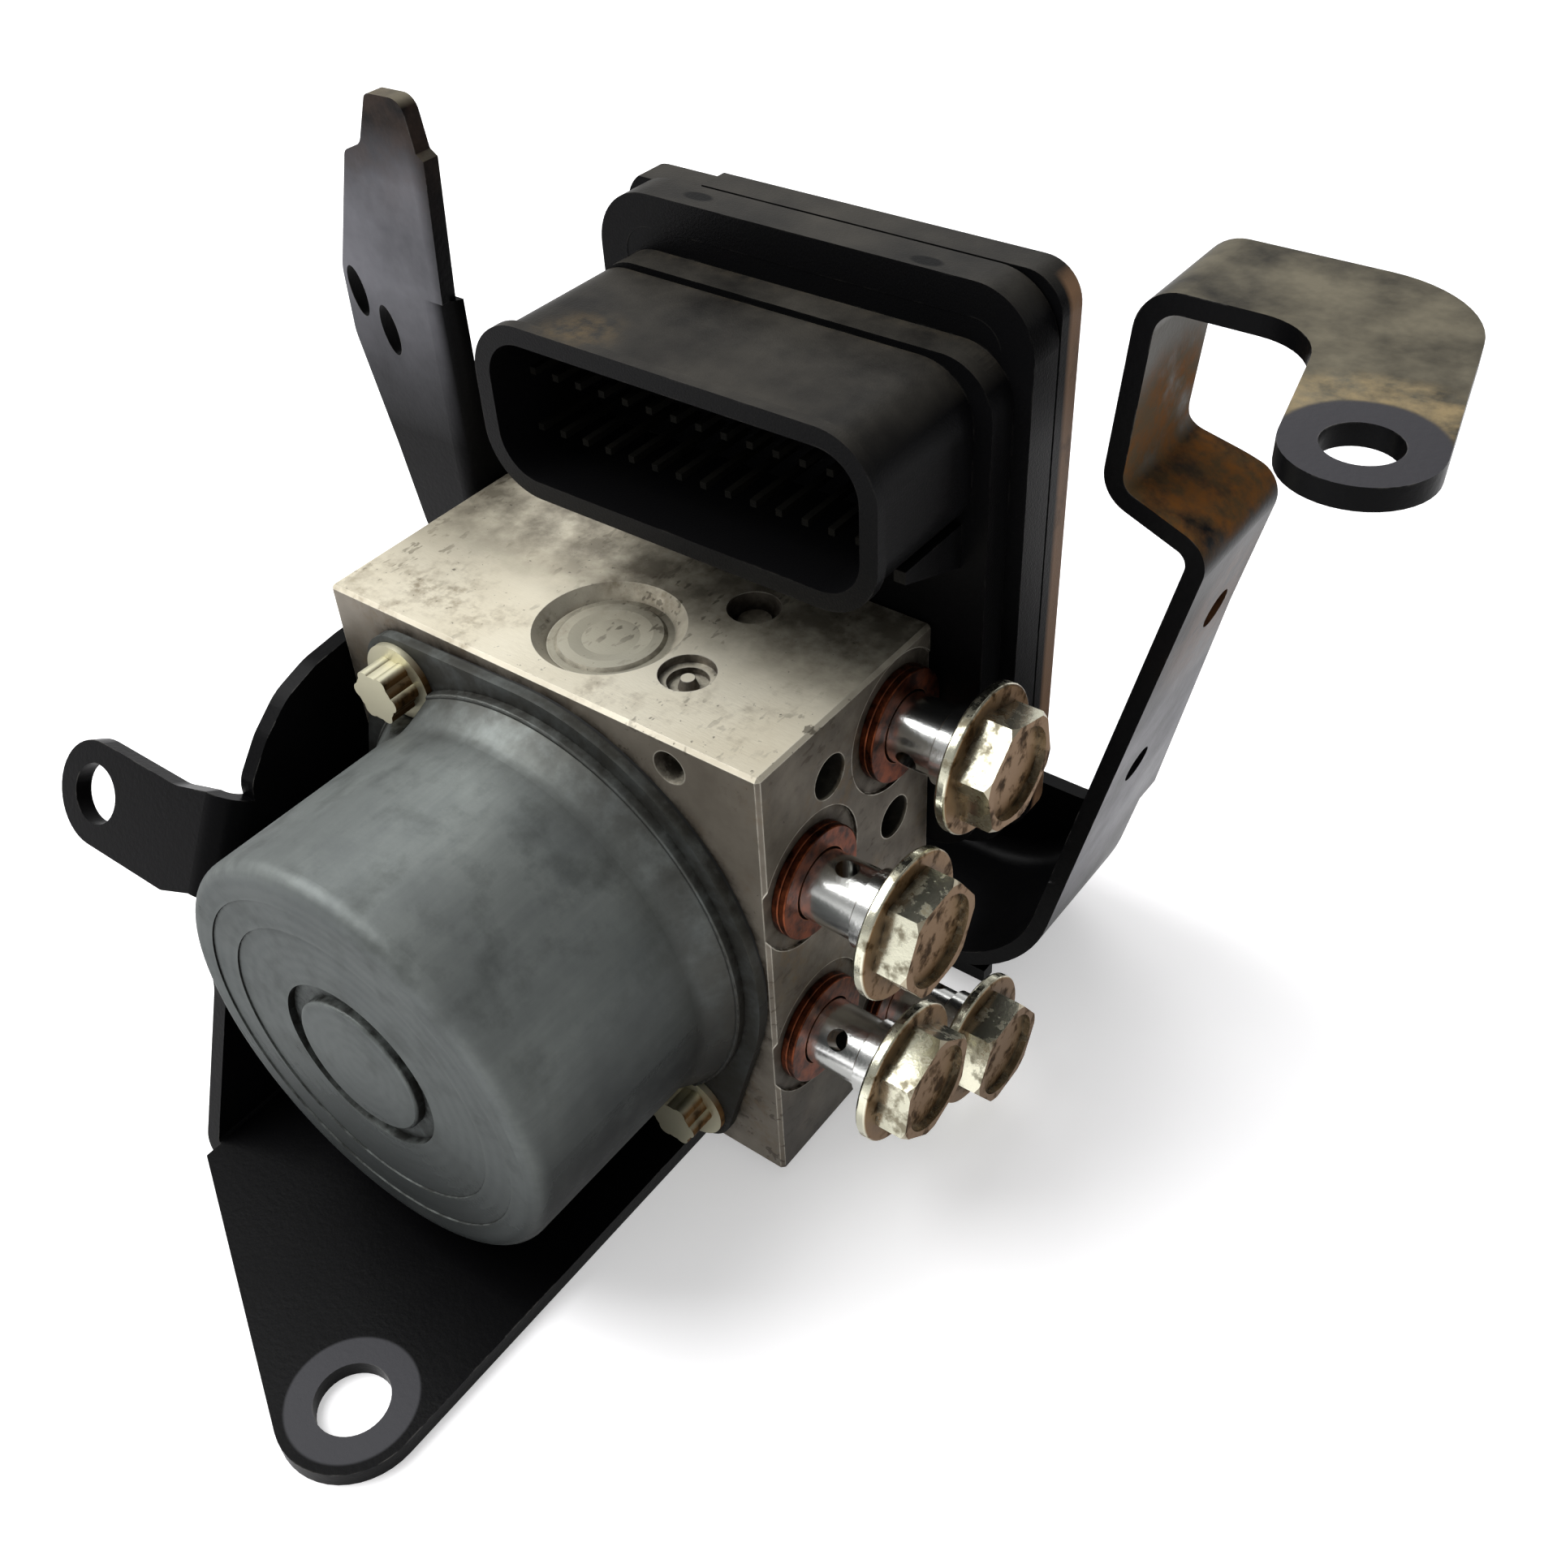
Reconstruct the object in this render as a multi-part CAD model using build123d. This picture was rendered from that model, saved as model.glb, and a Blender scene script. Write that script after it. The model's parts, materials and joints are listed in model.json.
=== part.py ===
from build123d import *
import os
from math import atan2, cos, degrees, hypot, pi, radians, sin, tan

# Anti-lock brake module: aluminium hydraulic block with a pump motor on its front, an electronic
# control unit on its back, four banjo bolts half screwed into its right side, and a folded steel
# bracket that carries it. Millimetres. The origin is the centre of the bracket's front lug hole,
# on the underside of the base plate. +X is right, +Y goes from the motor to the control unit,
# +Z is up.

# ---- Bracket sheet ------------------------------------------------------------------------------
sheet = 2.5
bend_radius = 2.0            # inner radius of the tight bends
wall_bend_radius = 0.5       # inner radius of the bend that clears the block's lower edge

# ---- Hydraulic block ----------------------------------------------------------------------------
block_width = 71.0
block_depth = 36.25
block_height = 73.1
block_right = 24.6           # from the front lug hole to the port face
block_front = 59.2           # from the front lug hole to the motor face
block_edge = 0.5
block_lift = 0.25            # the block hangs on its screws this far above the sheet

# Ports for the banjo bolts: distances from the front edge, and above or below the motor axis
port_columns = (9.25, 28.2)
port_heights = (13.9, 26.05)
port_radius = 4.85
port_depth = 12.0
spotface_radius = 9.9
spotface_depth = 0.5

# Threaded holes without a screw: distance from the front, distance from the top
side_holes = ((13.7, 8.9), (27.7, 26.1))
side_hole_radius = 3.1
side_hole_depth = 8.0
front_hole_inset = 13.3      # from the right edge
front_hole_drop = 4.05       # from the top
front_hole_radius = 2.35
front_hole_depth = 6.0
top_hole_inset = 20.7
top_hole_back = 26.6
top_hole_radius = 3.55
top_hole_depth = 3.2
top_hole_core = 2.2

# ---- Banjo bolts and sealing washers ------------------------------------------------------------
bolt_shank_radius = 4.75
bolt_shank_length = 19.9
bolt_collar_radius = 5.35
bolt_collar_length = 4.0
bolt_groove = 0.35
bolt_flange_radius = 10.0
bolt_flange_thickness = 1.6
bolt_hex_across = 14.0
bolt_hex_height = 4.5
bolt_dish_radius = 6.2
bolt_dish_depth = 1.1
bolt_bore_radius = 1.9
bolt_cross_radius = 1.5
bolt_cross_place = 7.4       # from the flange to the cross hole
bolt_bore_past = 2.0         # the bore ends this far past the cross hole
bolt_gap = 12.9              # from the block to the flange of a half unscrewed bolt
bolt_gap_short = 11.8
# For each bolt: column, row (1 top, -1 bottom), gap from block to flange, turn of the hexagon
# and turn of the cross hole, both in degrees from +Y towards +Z
bolts = (
    (1, 1, bolt_gap_short, 42.6, 15.0),
    (0, 1, bolt_gap, 4.5, 90.0),
    (0, -1, bolt_gap, 20.0, 131.0),
    (1, -1, bolt_gap, 5.0, 60.0),
)
hex_sides = 6
copper_outer = 7.8
copper_thickness = 1.0
copper_clearance = 0.25

# ---- Pump motor ---------------------------------------------------------------------------------
motor_length = 38.0          # from block face to the end of the can
can_wall = 1.6
can_nose_radius = 2.4
gasket_thickness = 0.6
flange_margin = 0.5          # the flange ends this far inside the block's shorter side
flange_thickness = 1.5
flange_ridge_inset = 2.3     # from the flange's edge to the ridge
flange_ridge_height = 1.4
ridge_width = 0.5
flare_width = 2.0            # from the foot of the ridge in to the can
flare_height = 3.5
nose_step_insets = (4.6, 8.9)  # from the can's side in to the two shallow steps
nose_step_depth = 0.25
nose_groove_outer = 12.6
nose_groove_depth = 1.1
nose_boss_radius = 10.1
nose_boss_proud = 0.3
bulge_height = 2.1
bulge_start = 2.8
bulge_end = 8.5
bulge_angles = (60.0, 115.0)  # from +X towards +Z
motor_screw_outset = 0.5     # from the flange's edge out to the screws' axes
motor_screw_angle = 127.7
motor_ear_radius = 6.4
motor_screw_radius = 3.0
motor_screw_length = 14.0
motor_screw_gap = 1.0        # from the screw's end to the bottom of its hole
motor_screw_pad_radius = 5.5
motor_screw_pad = 0.9
motor_screw_head_radius = 3.9
motor_screw_head_height = 4.0
motor_screw_lobes = 6
motor_screw_lobe_radius = 1.15

shaft_radius = 3.0
bearing_seat_radius = 4.0
running_clearance = 0.04
chamber_radius = 11.0
chamber_depth = 19.0
bearing_start = 0.8
bearing_width = 7.0
bearing_race = 1.8
ball_radius = 1.8
ball_count = 7
seal_gap = 0.2
seal_width = 1.0
seal_clearance = 0.05
cam_place = 13.3             # from the block face to the middle of the eccentric
cam_width = 7.4
cam_radius = 5.5
cam_throw = 1.0
cam_ring_wall = 2.5
tail_radius = 2.5
tail_bush_wall = 1.5
tail_bush_length = 4.0
tail_clear = 0.6
end_bush_radius = 8.0
end_bush_length = 4.6
end_pocket_wall = 1.5
core_radius = 20.5
core_length = 11.6
core_place = 15.8            # from the block face to the near end of the core
core_slots = 8
core_slot_width = 2.2
core_slot_depth = 9.0
winding_radius = 17.5
winding_overhang = 3.2
magnet_gap = 0.7
magnet_arc = 130.0
magnet_overhang = 1.5
commutator_radius = 8.0
commutator_length = 7.0
commutator_place = 5.4
brush_width = 5.0
brush_length = 8.0
brush_height = 4.5
brush_gap = 0.05
holder_thickness = 1.8
holder_place = 2.6
holder_hole_radius = 10.5
holder_post_width = 9.0
holder_post_height = 7.0
brush_spring_radius = 1.9
brush_spring_wire = 0.4
brush_spring_turns = 3

# ---- Pump pistons, accumulators and valves inside the block --------------------------------------
pump_piston_radius = 3.5
pump_piston_length = 10.0
pump_piston_gap = 0.3        # piston foot to the ring at its widest swing
pump_piston_hollow = (2.5, 7.0)  # radius and depth of the hollow for the spring
pump_stroke = 2.0
pump_bore_depth = 29.0       # from the motor axis to the end of the blind bore
pump_cap_radius = 6.0
pump_cap_depth = 6.0
pump_cap_recess = 0.3
pump_spring_radius = 1.9
pump_spring_wire = 0.3
pump_spring_turns = 4

accumulator_shift = 2.0      # from the motor axis towards the ports
accumulator_back = 13.3
accumulator_radius = 8.2
accumulator_floor = 4.55     # metal between the bores and the motor's chamber, on average
accumulator_chamfer = 1.5
accumulator_piston_length = 6.0
accumulator_piston_wall = 2.0
accumulator_end_gap = 0.3
accumulator_cap_recess = 1.5
accumulator_cap_thickness = 3.0
accumulator_disc_radius = 6.8
accumulator_disc_proud = 0.45
accumulator_dish = 0.3
accumulator_spring_radius = 5.4
accumulator_spring_wire = 0.6
accumulator_spring_turns = 4

bleed_across = 14.25         # from the accumulator's axis to the right
bleed_ahead = 2.0            # and forwards
bleed_radius = 3.7
bleed_depth = 8.0
bleed_step_radius = 2.7
bleed_recess = 1.0
bleed_nose_proud = 0.5

valve_columns = (11.3, -5.5)  # from the block's vertical middle plane, along X
valve_rows = (26.0, 9.5)      # below the top of the block
valve_seat_radius = 5.3
valve_seat_depth = 11.4
valve_dome_radius = 3.6
valve_dome_length = 9.0
valve_bore_radius = 2.6
valve_bore_depth = 6.0
valve_core_place = 4.0
plunger_length = 7.4
plunger_travel = 0.35
plunger_tip_radius = 0.8
coil_outer = 7.8
coil_clearance = 0.2
coil_start = 2.4
coil_length = 6.0

# ---- Electronic control unit ---------------------------------------------------------------------
ecu_shift = 18.0             # from the block's middle to the left side
ecu_width = 63.0
ecu_drop = 39.0              # from the top of the block to the bottom
ecu_height = 82.7
ecu_corner = 8.0
ecu_rim_front = 4.55         # from the block's back face to the front of the rim
ecu_rim_thickness = 5.35
ecu_rim_step = 2.3           # rim proud of the raised front at its sides
ecu_front_rise = 0.2         # the raised front ends this far above the plug socket
ecu_front_corner = 7.0
ecu_wall = 2.0
ecu_gasket = 0.4
ecu_gasket_inset = 0.9
cover_thickness = 4.95
cover_corner = 5.0
cover_step = 0.9             # the lid's top is lower at its left end
cover_step_place = 12.4      # from the lid's left side
cover_wall = 1.6
cover_edge = 0.6
ecu_screw_radius = 1.5
ecu_screw_head = 2.6
ecu_screw_head_height = 1.8
ecu_screw_bite = 6.5
ecu_screw_gap = 0.5
ecu_post_radius = 3.2
ecu_post_rise = 1.0
ecu_screws = ((2.9, 17.75), (28.9, 17.75), (28.9, 31.4))  # from block middle, below block top
board_thickness = 1.6
board_margin = 1.2
board_seat = 10.0            # from the block's back face
# Posts as distances from the block's middle and above its top
board_posts = ((-9.0, 4.4), (35.0, 4.4), (-9.0, 32.4), (35.0, 32.4))
chip_size = (12.0, 1.4, 12.0)

socket_inset = 0.25          # from the control unit's left side
socket_width = 58.75
socket_rise = 13.5           # above the top of the block
socket_height = 23.1
socket_corner = 8.0
socket_wall = 1.7
socket_reach = 20.2          # from the block's back face forward to the mouth
socket_floor = 3.0           # from the block's back face forward to the bottom of the socket
socket_lip = 0.7
socket_lip_length = 1.6
pin_size = 0.9
pin_pitch = 3.68
pin_count = 14
pin_rows = (7.4, 15.0)       # above the bottom of the socket shell
pin_reach = 15.95            # from the block's back face forward to the tips
latch_places = (-2.6, -7.2)   # from the socket's right side
latch_width = 1.6
latch_drop = 4.4
latch_length = 12.0

# ---- Bracket outline -----------------------------------------------------------------------------
front_lug_radius = 10.0
front_lug_hole = 5.0
front_edge_angle = 28.6      # slope of the base plate's left front edge
wall_rise = (25.4, 26.1)     # y, z of the bend in the left wall's front edge
wall_crest = ((39.3, 54.8), (43.4, 59.9), (48.2, 63.9), (54.0, 65.9), (60.0, 66.6), (80.0, 67.5))
lug_lean = 30.0              # the side lug leans back from upright by this angle
lug_corner = (35.8, 55.7)    # y, z of a point on its bend line
lug_reach = 26.5             # from the bend to the hole
lug_half_width = 7.7
lug_middle = 10.35            # down the bend line, from the point above to the lug's centre line
lug_hole = 4.4
lug_rise = (6.0, 1.5)        # the lug's upper edge rises this far before its bend
lug_relief = (5.5, 1.9)      # the lug's lower edge rises this far before its bend
strap_front = 88.0           # y of the strap's front face
strap_foot = 56.0
strap_edge = (
    (-60.0, 64.0), (-62.9, 78.0), (-66.9, 94.5), (-66.7, 104.0), (-60.9, 121.0),
    (-57.6, 122.4), (-54.8, 129.2), (-48.4, 129.4), (-47.3, 123.0), (-46.1, 122.2),
)
strap_edge_radii = (6.0, 10.0, 6.0, 6.0, 1.5, 2.0, 1.2, 2.2, 0.3, 0.2)
strap_bend_top = 103.0
strap_notch = 1.2            # step in the strap's right side at the top of its bend
strap_holes = ((-64.4, 101.0), (-59.3, 96.5))
strap_hole_size = (1.5, 3.6)  # half width and half height
strap_hole_turn = 12.0
wall_tail = ((91.0, 94.0), (97.0, 80.0), (104.0, 60.0))
wall_end = 104.0
base_back = 136.0            # outer face of the upstand along the back of the base
base_back_left = -30.0
base_corner = 9.0            # inside corner between the base and the arm
back_bend = 6.0              # outer radius of the bend along the back
upstand_top = 20.3
upstand_rise = (31.0, 38.0)  # the upstand climbs to the arm between these places along X
upstand_corner = 5.7
wall_screws = ((77.0, 17.0), (77.0, 60.0))
wall_screw_radius = 3.0
wall_screw_bite = 9.0
wall_screw_gap = 1.0
wall_screw_head_across = 10.0
wall_screw_head_height = 4.0
wall_screw_flange_radius = 6.5
wall_screw_flange = 1.2
hole_clearance = 0.25

# Right arm, as its outer side seen from the front: foot corner, shoulder, waist, top corner
arm_front = 107.5
arm_corners = ((33.7, 0.0), (54.7, 89.8), (42.3, 94.9), (44.4, 117.4))
arm_radii = (24.0, 4.5, 2.5, 3.0)
# The arm's back edge as y and z, from the top of the upstand's corner upwards
arm_back = ((135.4, 28.0), (128.0, 70.0), (127.6, 91.5), (123.6, 98.0), (123.6, 130.0))
arm_back_radii = (0.0, 6.0, 4.0, 4.0, 0.0)
arm_split = 110.0            # above this height the plan outline trims the arm
arm_holes = ((117.2, 46.6), (121.3, 72.8))
arm_hole_radius = 2.8
hook_centre = (74.3, 88.2)
hook_half_width = 7.6
hook_turn = 12.0             # the hook points this far to the right of straight forward
hook_hole = 3.9
hook_corner = 14.0
hook_inside_radius = 8.0

# ---- Worked-out places ---------------------------------------------------------------------------
block_left = block_right - block_width
block_back = block_front + block_depth
block_base = sheet
block_top = block_base + block_height
block_middle = (block_left + block_right) / 2
motor_x = block_middle
motor_z = block_base + block_lift + block_height / 2
flange_radius = min(block_width, block_height) / 2 - flange_margin
flange_ridge_radius = flange_radius - flange_ridge_inset
flare_radius = flange_ridge_radius - ridge_width
can_radius = flare_radius - flare_width
bulge_radius = can_radius + bulge_height
motor_screw_circle = flange_radius + motor_screw_outset
accumulator_depth = block_height / 2 - chamber_radius - accumulator_floor
wall_inner = block_left
wall_outer = wall_inner - sheet
ecu_left = block_middle - ecu_shift
ecu_bottom = block_top - ecu_drop
ecu_top = ecu_bottom + ecu_height
socket_left = ecu_left + socket_inset
socket_bottom = block_top + socket_rise
ecu_front_top = socket_bottom + socket_height + ecu_front_rise
rim_front = block_back + ecu_rim_front
rim_back = rim_front + ecu_rim_thickness
cover_front = rim_back + ecu_gasket
cover_back = cover_front + cover_thickness

# Frames: local Z points out of the named face
front_face = Plane(origin=(motor_x, block_front, motor_z), x_dir=(1, 0, 0), z_dir=(0, -1, 0))
# Local Y runs forward from the block along the motor axis, for turned profiles
motor_axis = Plane(origin=(motor_x, block_front, motor_z), x_dir=(1, 0, 0), z_dir=(0, 0, -1))


def top_frame(x, y):
    return Plane(origin=(x, y, block_top), x_dir=(1, 0, 0), z_dir=(0, 0, 1))


def bottom_frame(x, y):
    return Plane(origin=(x, y, block_base), x_dir=(1, 0, 0), z_dir=(0, 0, -1))


def right_frame(y, z):
    return Plane(origin=(block_right, y, z), x_dir=(0, 1, 0), z_dir=(1, 0, 0))


def left_frame(x, y, z):
    return Plane(origin=(x, y, z), x_dir=(0, 1, 0), z_dir=(-1, 0, 0))


def back_frame(x, y, z):
    """Local Y runs backwards, for profiles turned about it; local X is +X."""
    return Plane(origin=(x, y, z), x_dir=(1, 0, 0), z_dir=(0, 0, 1))


# ---- Small tools ---------------------------------------------------------------------------------
def outline(points, radii=None):
    """Face inside the closed line through the points, with each corner rounded."""
    if radii is None:
        return make_face(Polyline(*points, close=True))
    return make_face(FilletPolyline(*points, radius=radii, close=True))


def turned(points, radii=None, arc=360.0):
    """Solid of revolution: each point is a radius and a place along local Y."""
    return revolve(outline(points, radii), Axis.Y, revolution_arc=arc)


def tube(outer, inner, start, length):
    """Ring or bush about local Y."""
    return turned(((inner, start), (outer, start), (outer, start + length), (inner, start + length)))


def peg(frame, radius, height, start=0.0):
    """Cylinder that stands on a frame's plane."""
    return frame * Pos(0, 0, start + height / 2) * Cylinder(radius, height)


def drilled(frame, radius, depth):
    """Cylinder that goes down from a frame's plane, and a little above it."""
    return frame * Pos(0, 0, (block_edge - depth) / 2) * Cylinder(radius, depth + block_edge)


def rounded_box(left, bottom, width, height, corner, front, back):
    """Block with rounded corners as seen from the front, between two places along Y."""
    section = RectangleRounded(width, height, corner)
    frame = Plane(
        origin=(left + width / 2, front, bottom + height / 2), x_dir=(1, 0, 0), z_dir=(0, -1, 0)
    )
    return frame * extrude(section, amount=front - back)


def helical_spring(radius, wire, length, turns):
    """Compression spring about local Z that stands on the origin, its wire square in section."""
    rise = length - 2 * wire
    path = Helix(rise / turns, rise, radius, center=(0, 0, wire))
    section = Plane(origin=path @ 0, z_dir=path % 0) * Rectangle(1.6 * wire, 1.6 * wire)
    return sweep(section, path, is_frenet=True)


def bent_strip(points, radii, thickness):
    """Section of a bent sheet: a line with rounded bends, thickened to its left side."""
    steps = [(b[0] - a[0], b[1] - a[1]) for a, b in zip(points, points[1:])]
    normals = [(-dy / hypot(dx, dy), dx / hypot(dx, dy)) for dx, dy in steps]
    other = [(points[0][0] + thickness * normals[0][0], points[0][1] + thickness * normals[0][1])]
    other_radii = []
    for corner, radius, first, second in zip(points[1:], radii, normals, normals[1:]):
        share = thickness / (1 + first[0] * second[0] + first[1] * second[1])
        other.append(
            (corner[0] + share * (first[0] + second[0]), corner[1] + share * (first[1] + second[1]))
        )
        left_turn = first[0] * second[1] - first[1] * second[0] > 0
        other_radii.append(radius - thickness if left_turn else radius + thickness)
    end = (points[-1][0] + thickness * normals[-1][0], points[-1][1] + thickness * normals[-1][1])
    other.append(end)
    return outline(
        list(points) + other[::-1], [0.0, *radii, 0.0, 0.0, *other_radii[::-1], 0.0]
    )


def upright_prism(points, radii, low, high):
    """Outline in plan, from one height to another."""
    return Pos(0, 0, low) * extrude(outline(points, radii), amount=high - low)


def side_prism(points, radii, left, right):
    """Outline of y, z points, from one place along X to another."""
    frame = Plane(origin=(left, 0, 0), x_dir=(0, 1, 0), z_dir=(1, 0, 0))
    return frame * extrude(outline(points, radii), amount=right - left)


# ---- Hydraulic block -----------------------------------------------------------------------------
def port_place(column, row):
    """Centre of a port in the right face, as y and z."""
    y = block_front + port_columns[column]
    return y, motor_z + row * port_heights[column]


def valve_places():
    return [
        (block_middle + column, block_top - row) for row in valve_rows for column in valve_columns
    ]


def screw_ear_places():
    """The two motor screws stand opposite each other on a circle: x and z from the motor axis."""
    angle = radians(motor_screw_angle)
    place = (motor_screw_circle * cos(angle), motor_screw_circle * sin(angle))
    return [place, (-place[0], -place[1])]


def accumulator_frames():
    place = accumulator_place()
    return {"top": top_frame(*place), "bottom": bottom_frame(*place)}


def ecu_screw_places():
    return [(block_middle + across, block_top - drop) for across, drop in ecu_screws]


def hydraulic_block():
    body = Pos(block_middle, block_front + block_depth / 2, motor_z) * Box(
        block_width, block_depth, block_height
    )
    body = chamfer(body.edges(), block_edge)
    cuts = [drilled(front_face, chamber_radius, chamber_depth)]
    tail_depth = chamber_depth + tail_bush_length
    cuts.append(drilled(front_face, tail_radius + tail_bush_wall, tail_depth))
    for x, z in screw_ear_places():
        cuts.append(drilled(front_face * Pos(x, z), motor_screw_radius, motor_screw_length))
    hole = Plane(
        origin=(block_right - front_hole_inset, block_front, block_top - front_hole_drop),
        x_dir=(1, 0, 0), z_dir=(0, -1, 0),
    )
    cuts.append(drilled(hole, front_hole_radius, front_hole_depth))
    for column, row, *_ in bolts:
        frame = right_frame(*port_place(column, row))
        cuts.append(drilled(frame, port_radius, port_depth))
        cuts.append(drilled(frame, spotface_radius, spotface_depth))
    for back, drop in side_holes:
        frame = right_frame(block_front + back, block_top - drop)
        cuts.append(drilled(frame, side_hole_radius, side_hole_depth))
    for frame in accumulator_frames().values():
        mouth = accumulator_radius + accumulator_chamfer
        cuts.append(drilled(frame, accumulator_radius, accumulator_depth))
        cone = Cone(accumulator_radius, mouth + block_edge, accumulator_chamfer + block_edge)
        cuts.append(frame * Pos(0, 0, (block_edge - accumulator_chamfer) / 2) * cone)
    cuts.append(drilled(top_frame(*bleed_place()), bleed_radius, bleed_depth))
    small = top_frame(block_right - top_hole_inset, block_front + top_hole_back)
    ring = Cylinder(top_hole_radius, top_hole_depth + block_edge) - Cylinder(
        top_hole_core, top_hole_depth + block_edge
    )
    cuts.append(small * Pos(0, 0, (block_edge - top_hole_depth) / 2) * ring)
    cuts.append(drilled(small, top_hole_radius, top_hole_depth / 2))
    for x, z in valve_places():
        frame = Plane(origin=(x, block_back, z), x_dir=(-1, 0, 0), z_dir=(0, 1, 0))
        cuts.append(drilled(frame, valve_seat_radius, valve_seat_depth))
    for x, z in ecu_screw_places():
        frame = Plane(origin=(x, block_back, z), x_dir=(-1, 0, 0), z_dir=(0, 1, 0))
        cuts.append(drilled(frame, ecu_screw_radius, ecu_screw_bite))
    pump_y = block_front + cam_place
    bore = pump_piston_radius + running_clearance
    left = left_frame(block_left, pump_y, motor_z)
    cuts.append(drilled(left, bore, motor_x - block_left + pump_bore_depth))
    cuts.append(drilled(left, pump_cap_radius, pump_cap_depth))
    for y, z in wall_screws:
        cuts.append(drilled(left_frame(block_left, y, z), wall_screw_radius, wall_screw_bite))
    return body - cuts


def accumulator_place():
    return motor_x + accumulator_shift, block_front + accumulator_back


def bleed_place():
    x, y = accumulator_place()
    return x + bleed_across, y - bleed_ahead


def bleed_plug():
    """Stepped plug: a collar down in its bore with a small pin nose in the middle."""
    bottom = -bleed_depth
    collar = -bleed_recess
    profile = (
        (0, bottom), (bleed_radius, bottom), (bleed_radius, collar), (bleed_step_radius, collar),
        (bleed_step_radius, collar - bleed_recess), (bleed_step_radius / 2, collar - bleed_recess),
        (bleed_step_radius / 3, collar + bleed_nose_proud), (0, collar + bleed_nose_proud),
    )
    x, y = bleed_place()
    frame = Plane(origin=(x, y, block_top), x_dir=(1, 0, 0), z_dir=(0, -1, 0))
    return frame * turned(profile)


def accumulator_cap(frame):
    """Pressed-in cap with a raised disc, dished in its middle, down in the chamfered mouth."""
    low = -accumulator_cap_recess - accumulator_cap_thickness
    high = -accumulator_cap_recess
    proud = high + accumulator_disc_proud
    profile = (
        (0, low), (accumulator_radius, low), (accumulator_radius, high),
        (accumulator_disc_radius + accumulator_disc_proud, high),
        (accumulator_disc_radius, proud), (accumulator_disc_radius * 0.8, proud),
        (accumulator_disc_radius * 0.55, proud - accumulator_dish), (0, proud - accumulator_dish),
    )
    return frame * Rot(90, 0, 0) * turned(profile)


def accumulator_piston(frame):
    """Cup that rests near the bottom of its bore, open towards the spring and the cap."""
    radius = accumulator_radius - running_clearance
    low = -accumulator_depth + accumulator_end_gap
    high = low + accumulator_piston_length
    inner = radius - accumulator_piston_wall
    profile = (
        (0, low), (radius, low), (radius, high), (inner, high),
        (inner, low + accumulator_piston_wall), (0, low + accumulator_piston_wall),
    )
    return frame * Rot(90, 0, 0) * turned(profile)


def accumulator_spring(frame):
    low = -accumulator_depth + accumulator_end_gap + accumulator_piston_wall
    high = -accumulator_cap_recess - accumulator_cap_thickness
    spring = helical_spring(
        accumulator_spring_radius, accumulator_spring_wire, high - low, accumulator_spring_turns
    )
    return frame * Pos(0, 0, low) * spring


def pump_frame(side):
    """Local Z runs outwards from the motor axis, to the right for side 1, to the left for -1."""
    origin = (motor_x, block_front + cam_place, motor_z)
    return Plane(origin=origin, x_dir=(0, 1, 0), z_dir=(side, 0, 0))


def cam_ring_radius():
    return cam_radius + cam_ring_wall


def pump_piston_start():
    return cam_ring_radius() + cam_throw + pump_piston_gap


def pump_piston(side):
    """Plunger with a hollow for its spring on the outer side."""
    start = pump_piston_start()
    plunger = peg(pump_frame(side), pump_piston_radius, pump_piston_length, start)
    plunger = chamfer(plunger.edges().filter_by(GeomType.CIRCLE), pump_piston_gap)
    radius, depth = pump_piston_hollow
    return plunger - peg(pump_frame(side), radius, depth, start + pump_piston_length - depth)


def pump_spring(side):
    """Spring that stands clear of the hollow's floor by the plunger's whole stroke."""
    floor = pump_piston_start() + pump_piston_length - pump_piston_hollow[1]
    start = floor + pump_stroke + pump_piston_gap
    end = pump_bore_depth
    if side < 0:
        end = motor_x - block_left - pump_cap_depth
    spring = helical_spring(pump_spring_radius, pump_spring_wire, end - start, pump_spring_turns)
    return pump_frame(side) * Pos(0, 0, start) * spring


def pump_cap():
    frame = left_frame(block_left, block_front + cam_place, motor_z)
    height = pump_cap_depth - pump_cap_recess
    return chamfer(
        peg(frame, pump_cap_radius, height, -pump_cap_depth).edges().filter_by(GeomType.CIRCLE)
        .sort_by(Axis.X)[:1],
        pump_cap_recess,
    )


# ---- Solenoid valves -----------------------------------------------------------------------------
def valve_body(place):
    """Seat pressed into the block and the closed dome that stands out of it into the coil."""
    x, z = place
    low = -valve_seat_depth
    profile = (
        (0, low), (valve_seat_radius, low), (valve_seat_radius, 0), (valve_dome_radius, 0),
        (valve_dome_radius, valve_dome_length), (0, valve_dome_length), (0, valve_core_place),
        (valve_bore_radius, valve_core_place), (valve_bore_radius, -valve_bore_depth),
        (0, -valve_bore_depth),
    )
    radii = (0, 0, 0, 0, 1.2, 0, 0, 0, 0, 0)
    return back_frame(x, block_back, z) * turned(profile, radii)


def valve_plunger(place):
    """Steel plunger with a pin tip on its seat side; it lifts by the valve's travel."""
    x, z = place
    start = -valve_bore_depth + plunger_tip_radius / 2
    radius = valve_bore_radius - running_clearance
    profile = (
        (0, start), (plunger_tip_radius, start), (plunger_tip_radius, start + plunger_tip_radius),
        (radius, start + 2 * plunger_tip_radius), (radius, start + plunger_length),
        (0, start + plunger_length),
    )
    return back_frame(x, block_back, z) * turned(profile)


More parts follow.
